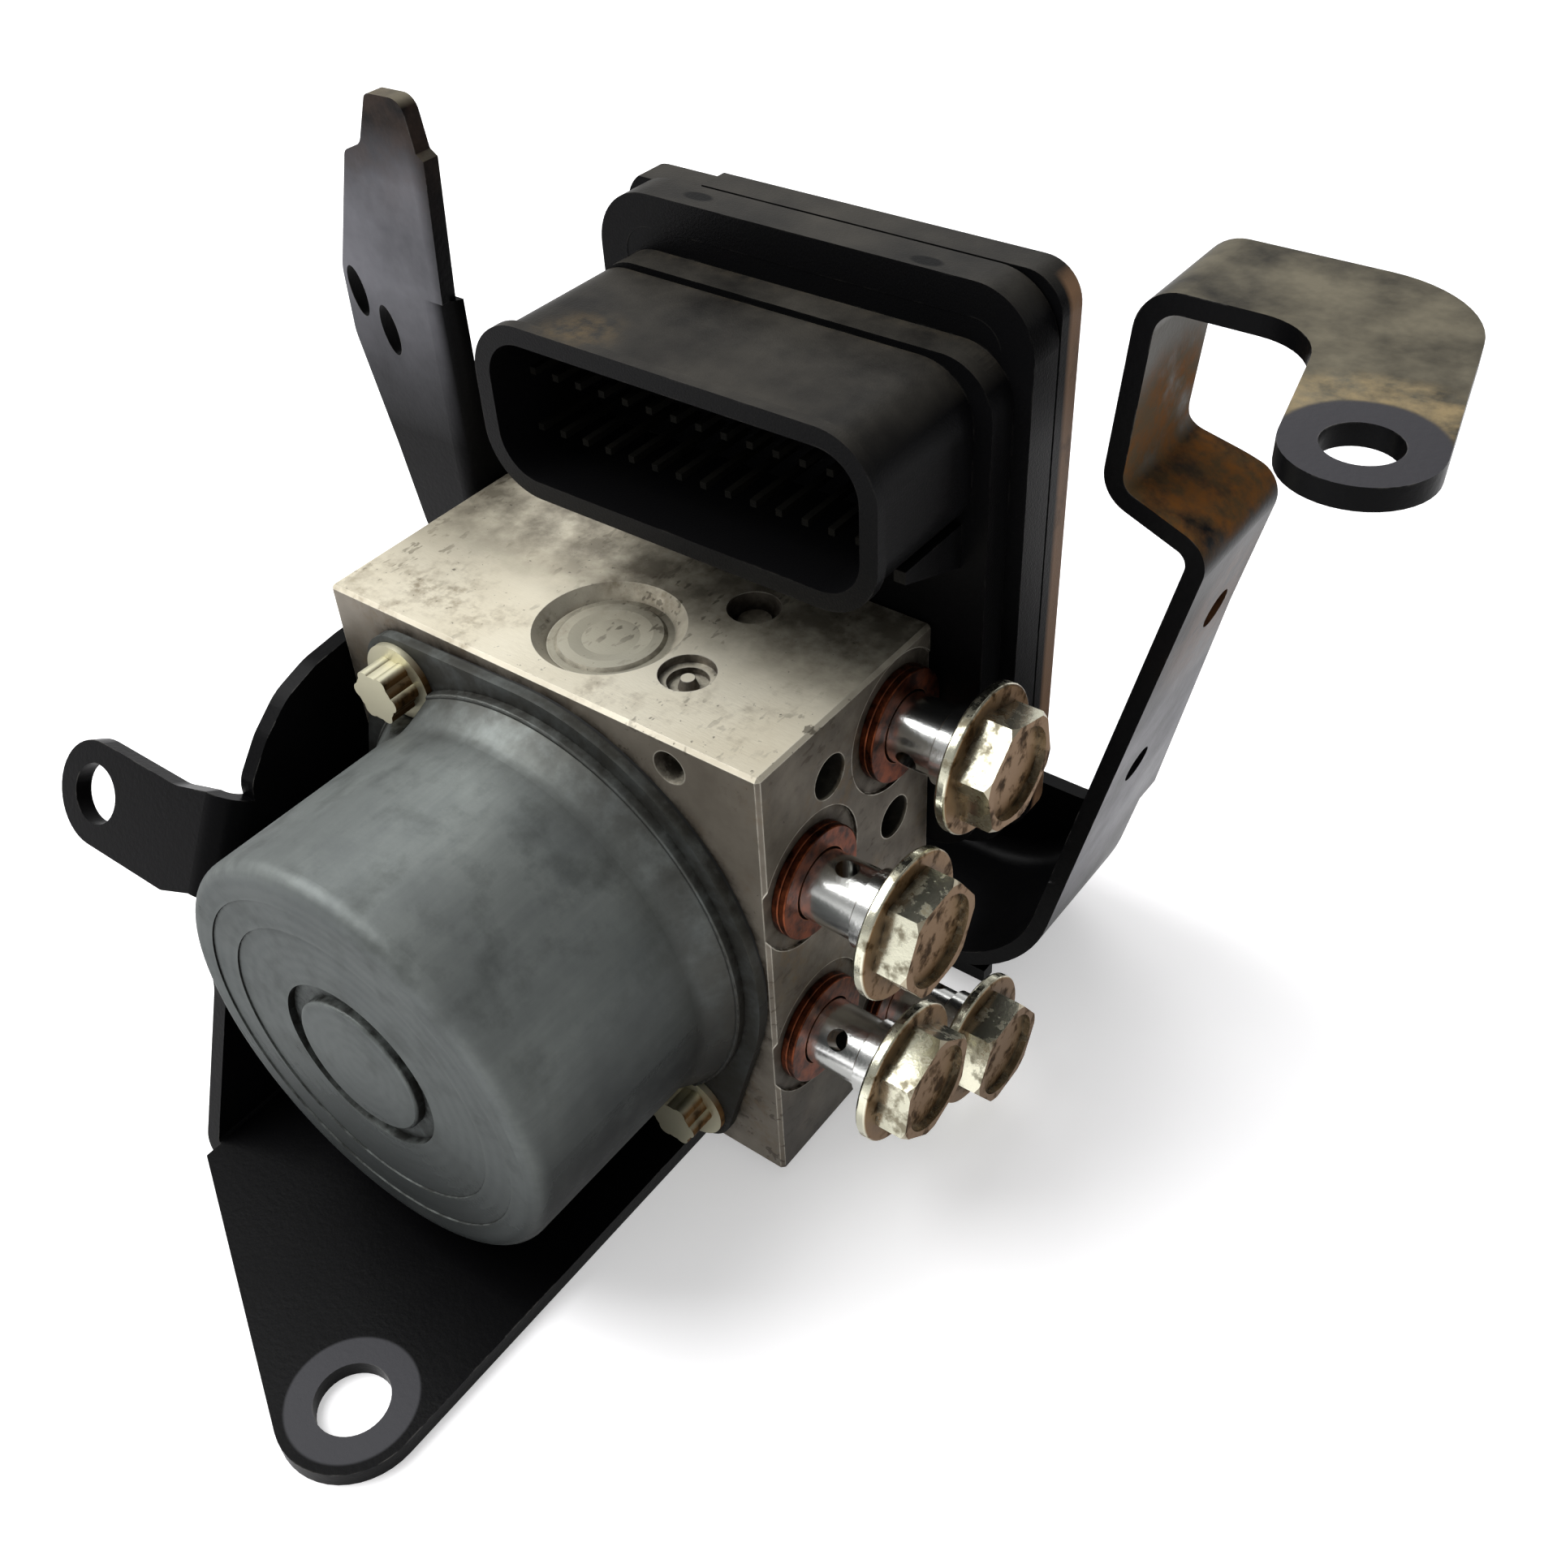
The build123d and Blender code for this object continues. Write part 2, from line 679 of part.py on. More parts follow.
def valve_coil(place):
    """Bobbin with its wound coil and two end cheeks."""
    x, z = place
    inner = valve_dome_radius + coil_clearance
    cheek = coil_length / 8
    waist = coil_outer - cheek
    end = coil_start + coil_length
    profile = (
        (inner, coil_start), (coil_outer, coil_start), (coil_outer, coil_start + cheek),
        (waist, coil_start + cheek), (waist, end - cheek), (coil_outer, end - cheek),
        (coil_outer, end), (inner, end),
    )
    return back_frame(x, block_back, z) * turned(profile)


# ---- Banjo bolts ---------------------------------------------------------------------------------
def banjo_bolt(column, row, gap, hex_turn, hole_turn):
    """Hollow bolt: drilled shank, grooved collar, round flange and hexagon with a dished end."""
    frame = right_frame(*port_place(column, row))
    shank = peg(frame, bolt_shank_radius, bolt_shank_length, gap - bolt_shank_length)
    collar = peg(frame, bolt_collar_radius, bolt_collar_length, gap - bolt_collar_length)
    groove = peg(frame, bolt_collar_radius, bolt_groove, gap - bolt_collar_length) - peg(
        frame, bolt_shank_radius - bolt_groove, bolt_groove, gap - bolt_collar_length
    )
    flange = peg(frame, bolt_flange_radius, bolt_flange_thickness, gap)
    flange = fillet(flange.edges().filter_by(GeomType.CIRCLE), bolt_flange_thickness / 4)
    head_start = gap + bolt_flange_thickness
    hexagon = RegularPolygon(bolt_hex_across / 2, hex_sides, major_radius=False)
    head = frame * Pos(0, 0, head_start) * Rot(0, 0, hex_turn) * extrude(
        hexagon, amount=bolt_hex_height
    )
    corner_radius = bolt_hex_across / 2 / cos(pi / hex_sides)
    bevel = frame * Pos(0, 0, head_start + bolt_hex_height / 2) * Cone(
        corner_radius + bolt_hex_height * 0.8, corner_radius - bolt_dish_depth / 2,
        bolt_hex_height,
    )
    head = head & bevel
    dish = peg(frame, bolt_dish_radius, bolt_dish_depth, head_start + bolt_hex_height
               - bolt_dish_depth)
    bolt = shank + collar + flange + head - groove - dish
    axial = peg(frame, bolt_bore_radius, bolt_shank_length - bolt_cross_place + bolt_bore_past,
                gap - bolt_shank_length)
    cross = frame * Pos(0, 0, gap - bolt_cross_place) * Rot(0, 0, hole_turn) * Rot(0, 90, 0)
    return bolt - axial - cross * Cylinder(bolt_cross_radius, 3 * bolt_shank_radius)


def banjo_bolts():
    return Compound(children=[banjo_bolt(*bolt) for bolt in bolts])


def copper_washers():
    """Two loose sealing washers round each bolt, against the spot face."""
    rings = []
    for column, row, *_ in bolts:
        frame = right_frame(*port_place(column, row))
        inner = bolt_shank_radius + copper_clearance
        for step in range(2):
            start = step * copper_thickness - spotface_depth
            ring = peg(frame, copper_outer, copper_thickness, start) - peg(
                frame, inner, copper_thickness, start
            )
            edges = ring.edges().filter_by(GeomType.CIRCLE).sort_by(SortBy.RADIUS)[-2:]
            rings.append(fillet(edges, copper_thickness / 5))
    return Compound(children=rings)


# ---- Motor ---------------------------------------------------------------------------------------
def motor_flange(radius, ear, start, thickness):
    """Round flange with two ears for the screws, about local Z of the front face."""
    places = screw_ear_places()
    sides = [Circle(radius)] + [Pos(*place) * Circle(ear) for place in places]
    sheet_face = make_hull([edge for side in sides for edge in side.edges()])
    return front_face * Pos(0, 0, start) * extrude(sheet_face, amount=thickness)


def motor_can():
    """Drawn steel cup with a stepped end, a bearing pocket, a flared foot and an eared flange."""
    foot = gasket_thickness
    inner = can_radius - can_wall
    first, second = (can_radius - inset for inset in nose_step_insets)
    face = motor_length - 2 * nose_step_depth
    groove = face - nose_groove_depth
    boss = face + nose_boss_proud
    floor = groove - can_wall
    pocket = end_bush_radius + end_pocket_wall
    bush_back = boss - can_wall
    bush_front = bush_back - end_bush_length
    flange_top = foot + flange_thickness
    profile = (
        (inner, foot), (flange_ridge_radius, foot),
        (flange_ridge_radius, flange_top + flange_ridge_height),
        (flare_radius, flange_top + flange_ridge_height), (can_radius, foot + flare_height * 2),
        (can_radius, motor_length), (first, motor_length), (first, motor_length - nose_step_depth),
        (second, motor_length - nose_step_depth), (second, face), (nose_groove_outer, face),
        (nose_groove_outer, groove), (nose_boss_radius, groove), (nose_boss_radius, boss),
        (0, boss), (0, bush_back), (end_bush_radius, bush_back), (end_bush_radius, bush_front),
        (pocket, bush_front), (pocket, floor), (inner, floor),
    )
    radii = [0.0] * len(profile)
    radii[2] = 0.3
    radii[4] = 4.0
    radii[5] = can_nose_radius
    radii[13] = 0.4
    can = motor_axis * turned(profile, radii)
    flange = motor_flange(flange_radius, motor_ear_radius, foot, flange_thickness)
    flange -= peg(front_face, inner, flange_thickness, foot)
    start, end = bulge_angles
    bulge = turned(
        ((inner + can_wall / 2, bulge_start), (bulge_radius, bulge_start),
         (bulge_radius, bulge_end), (inner + can_wall / 2, bulge_end)),
        (0, 1.2, 1.2, 0), end - start,
    )
    # The bulge is turned from the local X axis towards the top
    bulge = motor_axis * Rot(0, -start, 0) * mirror(bulge, Plane.XY)
    can = can + flange + bulge
    relief = motor_screw_pad_radius + hole_clearance
    for x, z in screw_ear_places():
        ear = front_face * Pos(x, z)
        can -= peg(ear, relief, 2 * flare_height, foot + flange_thickness)
        can -= peg(ear, motor_screw_radius + hole_clearance, flange_thickness, foot)
    return can


def motor_gasket():
    ring = motor_flange(flange_radius - gasket_thickness / 2, motor_ear_radius - gasket_thickness,
                        0, gasket_thickness)
    for x, z in screw_ear_places():
        ring -= peg(front_face * Pos(x, z), motor_screw_radius + hole_clearance, gasket_thickness)
    return ring - peg(front_face, can_radius - can_wall, gasket_thickness)


def motor_screw(place):
    """Flanged screw with an external lobed head."""
    frame = front_face * Pos(*place)
    seat = gasket_thickness + flange_thickness
    start = motor_screw_gap - motor_screw_length
    shank = peg(frame, motor_screw_radius, seat - start, start)
    pad = peg(frame, motor_screw_pad_radius, motor_screw_pad, seat)
    head = peg(frame, motor_screw_head_radius - motor_screw_lobe_radius / 2,
               motor_screw_head_height, seat + motor_screw_pad)
    for lobe in range(motor_screw_lobes):
        angle = radians(360.0 * lobe / motor_screw_lobes)
        reach = motor_screw_head_radius - motor_screw_lobe_radius
        head += peg(frame * Pos(reach * cos(angle), reach * sin(angle)), motor_screw_lobe_radius,
                    motor_screw_head_height, seat + motor_screw_pad)
    return shank + pad + head


def motor_screws():
    return Compound(children=[motor_screw(place) for place in screw_ear_places()])


def shaft_tail():
    """Where the shaft ends inside the block, along the motor axis."""
    return -(chamber_depth + tail_bush_length - tail_clear)


def can_bush_place():
    """Start of the bush in the end of the can, along the motor axis."""
    return motor_length - 2 * nose_step_depth + nose_boss_proud - can_wall - end_bush_length


def motor_shaft():
    """Turned shaft with its bearing seat and, off its axis, the eccentric that works the pumps."""
    cam_back = -(cam_place + cam_width / 2)
    front_end = can_bush_place() + end_bush_length - tail_clear
    profile = (
        (0, shaft_tail()), (tail_radius, shaft_tail()), (tail_radius, cam_back),
        (bearing_seat_radius, cam_back), (bearing_seat_radius, -bearing_start),
        (shaft_radius, -bearing_start), (shaft_radius, front_end), (0, front_end),
    )
    shaft = motor_axis * turned(profile)
    cam = peg(front_face * Pos(0, cam_throw), cam_radius, cam_width, cam_back)
    return shaft + cam


def cam_ring():
    frame = front_face * Pos(0, cam_throw)
    start = -(cam_place + cam_width / 2)
    return peg(frame, cam_ring_radius(), cam_width, start) - peg(
        frame, cam_radius, cam_width, start
    )


def bearing_ring(outer, inner):
    """One race of the ball bearing, with its groove."""
    start = -(bearing_start + bearing_width)
    middle = (chamber_radius + bearing_seat_radius) / 2
    ring = motor_axis * tube(outer, inner, start, bearing_width)
    groove = Torus(middle, ball_radius + running_clearance)
    return ring - front_face * Pos(0, 0, start + bearing_width / 2) * groove


def bearing_balls():
    middle = (chamber_radius + bearing_seat_radius) / 2
    place = -(bearing_start + bearing_width / 2)
    balls = []
    for ball in range(ball_count):
        angle = radians(360.0 * ball / ball_count)
        centre = Pos(middle * cos(angle), middle * sin(angle), place)
        balls.append(front_face * centre * Sphere(ball_radius))
    return Compound(children=balls)


def shaft_seal():
    start = -(bearing_start + bearing_width + seal_gap + seal_width)
    return motor_axis * tube(
        chamber_radius, bearing_seat_radius + seal_clearance, start, seal_width
    )


def tail_bush():
    start = -(chamber_depth + tail_bush_length)
    return motor_axis * tube(
        tail_radius + tail_bush_wall, tail_radius + running_clearance, start, tail_bush_length
    )


def can_bush():
    return motor_axis * tube(
        end_bush_radius, shaft_radius + running_clearance, can_bush_place(), end_bush_length
    )


def armature_core():
    """Slotted stack of laminations."""
    core = peg(front_face, core_radius, core_length, core_place)
    core -= peg(front_face, shaft_radius, core_length, core_place)
    middle = core_radius - core_slot_depth / 2
    for slot in range(core_slots):
        frame = front_face * Pos(0, 0, core_place + core_length / 2)
        cutter = Pos(middle, 0) * Box(core_slot_depth, core_slot_width, core_length)
        core -= frame * Rot(0, 0, 360.0 * slot / core_slots) * cutter
    return core


def armature_windings():
    """Copper heads of the winding at both ends of the core."""
    inner = shaft_radius + end_pocket_wall
    near = tube(winding_radius, inner, core_place - winding_overhang, winding_overhang)
    far = tube(winding_radius, inner, core_place + core_length, winding_overhang)
    rings = [fillet(ring.edges().filter_by(GeomType.CIRCLE), winding_overhang / 4)
             for ring in (near, far)]
    return Compound(children=[motor_axis * ring for ring in rings])


def commutator():
    return motor_axis * tube(commutator_radius, shaft_radius, commutator_place, commutator_length)


def motor_magnets():
    """Two curved magnets on the inside of the can."""
    outer = can_radius - can_wall
    inner = core_radius + magnet_gap
    start = core_place - magnet_overhang
    length = core_length + 2 * magnet_overhang
    section = ((inner, start), (outer, start), (outer, start + length), (inner, start + length))
    shell = turned(section, None, magnet_arc)
    return Compound(children=[
        motor_axis * Rot(0, turn + magnet_arc / 2, 0) * shell for turn in (0.0, 180.0)
    ])


def brush_place():
    """Height of the brush's middle along the motor axis."""
    return commutator_place + commutator_length / 2


def brush_holder():
    """Moulded plate across the mouth of the can, with a box for each brush."""
    plate = peg(front_face, can_radius - can_wall, holder_thickness, holder_place)
    plate -= peg(front_face, holder_hole_radius, holder_thickness, holder_place)
    near = holder_hole_radius + brush_gap
    far = can_radius - can_wall - end_pocket_wall
    high = holder_place + holder_thickness + holder_post_height
    for side in (1, -1):
        frame = front_face * Pos(side * (near + far) / 2, 0, (holder_place + high) / 2)
        post = frame * Box(far - near, holder_post_width, high - holder_place)
        plate += post
    slot_far = far - end_pocket_wall
    for side in (1, -1):
        frame = front_face * Pos(side * slot_far / 2, 0, brush_place())
        plate -= frame * Box(slot_far, brush_width + 2 * brush_gap, brush_height + 2 * brush_gap)
    return plate


def brush_start():
    return commutator_radius + brush_gap


def carbon_brushes():
    brushes = []
    for side in (1, -1):
        middle = side * (brush_start() + brush_length / 2)
        frame = front_face * Pos(middle, 0, brush_place())
        brush = frame * Box(brush_length, brush_width, brush_height)
        face = peg(front_face, commutator_radius + brush_gap, commutator_length, commutator_place)
        brushes.append(brush - face)
    return Compound(children=brushes)


def brush_springs():
    start = brush_start() + brush_length
    end = can_radius - can_wall - 2 * end_pocket_wall
    springs = []
    for side in (1, -1):
        coil = helical_spring(
            brush_spring_radius, brush_spring_wire, end - start, brush_spring_turns
        )
        frame = Plane(
            origin=(motor_x + side * start, block_front - brush_place(), motor_z),
            x_dir=(0, 1, 0), z_dir=(side, 0, 0),
        )
        springs.append(frame * coil)
    return Compound(children=springs)


# ---- Electronic control unit ---------------------------------------------------------------------
def inset_box(inset, corner, front, back):
    """Box with the control unit's outline, moved in all round by an inset."""
    return rounded_box(
        ecu_left + inset, ecu_bottom + inset, ecu_width - 2 * inset, ecu_height - 2 * inset,
        corner, front, back,
    )


def cavity_inset():
    return ecu_rim_step + ecu_wall


def socket_pins():
    """Places of the contacts as x and z."""
    start = socket_left + socket_width / 2 - pin_pitch * (pin_count - 1) / 2
    return [
        (start + number * pin_pitch, socket_bottom + row)
        for row in pin_rows for number in range(pin_count)
    ]


def socket_shell(inset, front, back):
    return rounded_box(
        socket_left + inset, socket_bottom + inset, socket_width - 2 * inset,
        socket_height - 2 * inset, socket_corner - inset, front, back,
    )


def latch_rib(place):
    """Three-cornered rib under the plug socket, deepest at the control unit."""
    x = socket_left + socket_width + place
    low = socket_bottom + socket_lip
    return side_prism(
        ((block_back, low + socket_wall), (block_back, low - latch_drop),
         (block_back - latch_length, low), (block_back - latch_length, low + socket_wall)),
        None, x - latch_width / 2, x + latch_width / 2,
    )


def ecu_housing():
    """Moulded housing: raised front, rim, coil chamber, plug socket and its latch ribs."""
    inside = cavity_inset()
    front = rounded_box(
        ecu_left + ecu_rim_step, ecu_bottom + ecu_rim_step, ecu_width - 2 * ecu_rim_step,
        ecu_front_top - ecu_bottom - ecu_rim_step, ecu_front_corner, block_back, rim_front,
    )
    rim = inset_box(0, ecu_corner, rim_front, rim_back)
    mouth = block_back - socket_reach
    shell = socket_shell(socket_lip, mouth, block_back)
    lip = socket_shell(0, mouth, mouth + socket_lip_length)
    latches = [latch_rib(place) for place in latch_places]
    body = front + rim + shell + lip + latches
    chamber = inset_box(inside, ecu_corner - inside, block_back + ecu_wall, rim_back)
    recess = socket_shell(socket_lip + socket_wall, mouth, block_back - socket_floor)
    body = body - chamber - recess
    for x, z in valve_places():
        body -= back_hole(x, z, valve_dome_radius + coil_clearance)
    for x, z in ecu_screw_places():
        post_top = board_seat - ecu_screw_head_height
        post = Plane(origin=(x, block_back, z), x_dir=(1, 0, 0), z_dir=(0, 1, 0))
        body += peg(post, ecu_post_radius, ecu_wall + ecu_post_rise)
        body -= peg(post, ecu_screw_radius + hole_clearance, post_top)
    for across, rise in board_posts:
        post = Plane(origin=(block_middle + across, block_back, block_top + rise),
                     x_dir=(1, 0, 0), z_dir=(0, 1, 0))
        body += peg(post, ecu_post_radius / 2, board_seat - ecu_wall / 2, ecu_wall / 2)
    for x, z in socket_pins():
        body -= contact(x, z)
    return body


def back_hole(x, z, radius):
    """Round hole through the front wall of the control unit."""
    frame = Plane(origin=(x, block_back, z), x_dir=(1, 0, 0), z_dir=(0, 1, 0))
    return peg(frame, radius, ecu_wall)


def contact(x, z):
    """One contact from its tip in the socket to the circuit board."""
    length = pin_reach + board_seat
    middle = block_back - pin_reach + length / 2
    return Pos(x, middle, z) * Box(pin_size, length, pin_size)


def connector_pins():
    return Compound(children=[contact(*place) for place in socket_pins()])


def ecu_gasket_ring():
    outer = inset_box(ecu_gasket_inset, ecu_corner - ecu_gasket_inset, rim_back, cover_front)
    inner = inset_box(2 * ecu_gasket_inset, ecu_corner - 2 * ecu_gasket_inset, rim_back,
                      cover_front)
    return outer - inner


def ecu_cover():
    """Shallow moulded lid with a rounded back edge and a lower left end."""
    lid = inset_box(0, cover_corner, cover_front, cover_back)
    lid = fillet(lid.faces().sort_by(Axis.Y)[-1].edges(), cover_edge)
    step = Pos(ecu_left + cover_step_place / 2, (cover_front + cover_back) / 2, ecu_top)
    lid -= step * Box(cover_step_place, cover_thickness, 2 * cover_step)
    hollow = cavity_inset() - cover_wall
    inside = inset_box(hollow, ecu_corner - hollow, cover_front, cover_back - cover_wall)
    return lid - inside


def ecu_screw_set():
    screws = []
    for x, z in ecu_screw_places():
        frame = Plane(origin=(x, block_back, z), x_dir=(1, 0, 0), z_dir=(0, 1, 0))
        seat = ecu_wall + ecu_post_rise
        start = ecu_screw_gap - ecu_screw_bite
        shank = peg(frame, ecu_screw_radius, seat - start, start)
        head = peg(frame, ecu_screw_head, ecu_screw_head_height, seat)
        screws.append(shank + head)
    return Compound(children=screws)


def circuit_board():
    """Board on the housing's posts, with the processor and a driver on its back."""
    margin = cavity_inset() + board_margin
    seat = block_back + board_seat
    board = inset_box(margin, ecu_corner - margin + ecu_wall, seat, seat + board_thickness)
    width, depth, height = chip_size
    for shift in (-1, 1):
        place = Pos(
            ecu_left + ecu_width / 2 + shift * width,
            seat + board_thickness + depth / 2,
            ecu_bottom + ecu_height * 0.4 - shift * width,
        )
        board += place * Box(width, depth, height)
    return board


# ---- Bracket -------------------------------------------------------------------------------------
def base_plate():
    """Flat foot: front lug, left edge along the wall, and a right edge that runs into the arm."""
    slope = radians(front_edge_angle)
    tip = -front_lug_radius * (1 + sin(slope)) / cos(slope)
    bend_start = wall_inner + wall_bend_radius
    left_front = (bend_start * -sin(slope) - front_lug_radius) / cos(slope)
    back = arm_front + sheet
    foot = front_lug_radius + 2 * base_corner
    points = (
        (bend_start, left_front), (front_lug_radius, tip), (front_lug_radius, arm_front),
        (foot, arm_front), (foot, back), (base_back_left, back), (bend_start, wall_end),
    )
    plate = upright_prism(points, (0, front_lug_radius, base_corner, 0, 0, 0, 0), 0, sheet)
    return plate - Pos(0, 0, sheet / 2) * Cylinder(front_lug_hole, sheet)


def arm_slope():
    """How far the leaning part of the arm goes to the right for each millimetre up."""
    (foot_x, foot_z), (top_x, top_z) = arm_corners[:2]
    return (top_x - foot_x) / (top_z - foot_z)


def foot_block(inset, high):
    """Solid under the skin of the base's back: flat bottom, rounded foot of the arm and back."""
    slope = arm_slope()
    foot_x = arm_corners[0][0] + slope * inset - inset * hypot(1, slope)
    points = (
        (base_back_left, inset), (foot_x, inset), (foot_x + slope * (high - inset), high),
        (base_back_left, high),
    )
    back = Plane(origin=(0, base_back - inset, 0), x_dir=(1, 0, 0), z_dir=(0, -1, 0))
    reach = base_back - inset - arm_front
    block = back * extrude(outline(points, (0, arm_radii[0] - inset, 0, 0)), amount=reach)
    edges = [
        edge for edge in block.faces().sort_by(Axis.Y)[-1].edges()
        if edge.center().X > base_back_left and edge.center().Z < high
    ]
    return fillet(edges, back_bend - inset)


def foot_tub():
    """Back of the base with its upstand, drawn round the corner into the foot of the arm."""
    kink = arm_back[0][1]
    shell = foot_block(0, kink) - foot_block(sheet, kink)
    start, end = upstand_rise
    outer = arm_corners[0][0] + back_bend * 2
    front = Plane(origin=(0, base_back, 0), x_dir=(1, 0, 0), z_dir=(0, -1, 0))
    face = outline(
        ((base_back_left, 0), (outer, 0), (outer, kink), (end, kink), (start, upstand_top),
         (base_back_left, upstand_top)),
        (0, 0, 0, upstand_corner / 2, upstand_corner, upstand_corner),
    )
    return shell & front * extrude(face, amount=base_back)


def left_wall():
    """Upright wall beside the block, joined to the base by a tight bend."""
    radius = bend_radius + sheet
    section = bent_strip(
        ((wall_inner + radius, 0), (wall_outer, 0), (wall_outer, block_top)),
        (wall_bend_radius + sheet,), -sheet,
    )
    slope = radians(front_edge_angle)
    left_front = (-wall_outer * sin(slope) - front_lug_radius) / cos(slope)
    lug_low = lug_middle + lug_half_width - lug_relief[1]
    low = fold_point(lug_low, 0)
    low_flat = fold_point(lug_low, radius)
    high_flat = fold_point(lug_middle - lug_half_width - lug_rise[1], radius)
    flat_back = strap_front + radius
    (tail_y, tail_z), (waist_y, waist_z), foot = wall_tail
    tail_high = tail_z + (flat_back - tail_y) * (waist_z - tail_z) / (waist_y - tail_y)
    points = (
        (left_front, 0), wall_rise, low, low_flat, high_flat, *wall_crest,
        (flat_back, wall_crest[-1][1]), (flat_back, tail_high), (waist_y, waist_z), foot,
        (wall_end, 0),
    )
    crest_radii = (radius, *[2 * radius] * (len(wall_crest) - 2), radius)
    radii = (0, 2 * radius, 0, 0, 0, *crest_radii, 0, 0, radius, radius, 0)
    frame = Plane(origin=(0, 0, 0), x_dir=(1, 0, 0), z_dir=(0, -1, 0))
    wall = frame * extrude(section, amount=-wall_end)
    return wall & side_prism(points, radii, wall_outer - sheet, wall_inner + 3 * radius)


def fold_point(down, behind):
    """Point on the left wall as y, z: down the side lug's bend line and square behind it."""
    lean = radians(lug_lean)
    y = lug_corner[0] - down * sin(lean) + behind * cos(lean)
    z = lug_corner[1] - down * cos(lean) - behind * sin(lean)
    return y, z


def side_lug():
    """Lug folded outwards from the wall's front edge about a bend line that leans back."""
    radius = bend_radius + sheet
    lean = radians(lug_lean)
    origin = Vector(wall_inner, *lug_corner)
    along = Vector(0, sin(lean), cos(lean))
    # Local X points out of the wall to the left, local Y back, local Z down the bend line
    fold = Plane(origin=origin, x_dir=(-1, 0, 0), z_dir=-along)
    section = bent_strip(((radius, 0), (0, 0), (0, 2 * radius)), (radius,), -sheet)
    low = lug_middle - lug_half_width
    high = lug_middle + lug_half_width
    top_run, top_rise = lug_rise
    run, rise = lug_relief
    bend = fold * Pos(0, 0, low - top_rise) * extrude(
        section, amount=2 * lug_half_width + top_rise - rise
    )
    # Local X of the lug's own frame points left, local Y down the bend line, local Z forward
    face = Plane(origin=origin, x_dir=(-1, 0, 0), z_dir=(0, -cos(lean), sin(lean)))
    tip = lug_reach + lug_half_width
    end = lug_half_width * 0.999
    plate = face * extrude(
        outline(
            ((radius, low - top_rise), (radius + top_run, low), (tip, low), (tip, high),
             (radius + run, high), (radius, high - rise)),
            (0, top_run, end, end, run / 2, 0),
        ),
        amount=-sheet,
    )
    hole = face * Pos(lug_reach, lug_middle, -sheet / 2) * Cylinder(lug_hole, sheet)
    return bend + plate - hole


def strap():
    """Tall strap folded outwards from the wall's rear part, with a narrow tab on top."""
    radius = bend_radius + sheet
    fold = Plane(origin=(wall_inner, strap_front, strap_foot), x_dir=(-1, 0, 0), z_dir=(0, 0, -1))
    section = bent_strip(((2 * radius, 0), (0, 0), (0, 2 * radius)), (radius,), -sheet)
    bend = fold * extrude(section, amount=strap_foot - strap_bend_top)
    notch = wall_inner - strap_notch
    points = ((wall_outer - bend_radius, strap_foot), *strap_edge, (notch, strap_bend_top),
              (wall_outer - bend_radius, strap_bend_top))
    radii = (0, *strap_edge_radii, 0, 0)
    frame = Plane(origin=(0, strap_front, 0), x_dir=(1, 0, 0), z_dir=(0, -1, 0))
    plate = frame * extrude(outline(points, radii), amount=-sheet)
    for x, z in strap_holes:
        slot = extrude(Ellipse(*strap_hole_size), amount=-sheet)
        plate -= frame * Pos(x, z) * Rot(0, 0, strap_hole_turn) * slot
    (tail_y, tail_z), (waist_y, waist_z) = wall_tail[:2]
    behind = waist_y + bend_radius
    relief = side_prism(
        ((tail_y, strap_bend_top), (tail_y, tail_z), (waist_y, waist_z), (behind, waist_z),
         (behind, strap_bend_top)),
        None, wall_outer - radius, wall_inner,
    )
    return bend + plate - relief


def hook_outline():
    """Plan of the arm's top plate: it runs right, then hooks forward to a round end."""
    turn = radians(hook_turn)
    across = (cos(turn), sin(turn))
    ahead = (sin(turn), -cos(turn))

    def from_centre(side, reach):
        x = hook_centre[0] + hook_half_width * side * across[0] + reach * ahead[0]
        return x, hook_centre[1] + hook_half_width * side * across[1] + reach * ahead[1]

    def on_edge(side, y):
        foot = from_centre(side, 0)
        return foot[0] - (y - foot[1]) * tan(turn), y

    left = arm_corners[2][0] - 2 * sheet
    back = arm_back[-1][0]
    points = (
        (left, back), (left, arm_front), on_edge(-1, arm_front),
        from_centre(-1, hook_half_width), from_centre(1, hook_half_width), on_edge(1, back),
    )
    end = hook_half_width * 0.999
    return points, (0, 0, hook_inside_radius, end, end, hook_corner)


def right_arm():
    """Arm above the base's corner: leaning flat, joggle, upright and hooked top plate."""
    reach = hook_centre[0] + 3 * hook_half_width
    line = ((base_back_left, 0), *arm_corners, (reach, arm_corners[-1][1]))
    section = bent_strip(line, arm_radii, sheet)
    frame = Plane(origin=(0, base_back, 0), x_dir=(1, 0, 0), z_dir=(0, -1, 0))
    strip = frame * extrude(section, amount=base_back - hook_centre[1] + 2 * hook_half_width)
    kink = arm_back[0][1]
    lower = side_prism(
        ((arm_front, kink), *arm_back, (arm_front, arm_back[-1][1])), (0, *arm_back_radii, 0),
        arm_corners[0][0] - back_bend, reach,
    )
    lower = lower & Box(4 * reach, 4 * base_back, 2 * arm_split)
    points, radii = hook_outline()
    upper = upright_prism(points, radii, arm_split, arm_back[-1][1])
    arm = (strip & lower) + (strip & upper)
    for y, z in arm_holes:
        x = arm_corners[0][0] + z * arm_slope()
        hole = Pos(x, y, z) * Rot(0, degrees(atan2(arm_slope(), 1)), 0) * Rot(0, 90, 0)
        arm -= hole * Cylinder(arm_hole_radius, 4 * sheet)
    hook = Pos(*hook_centre, arm_corners[-1][1] + sheet / 2)
    return arm - hook * Cylinder(hook_hole, sheet)


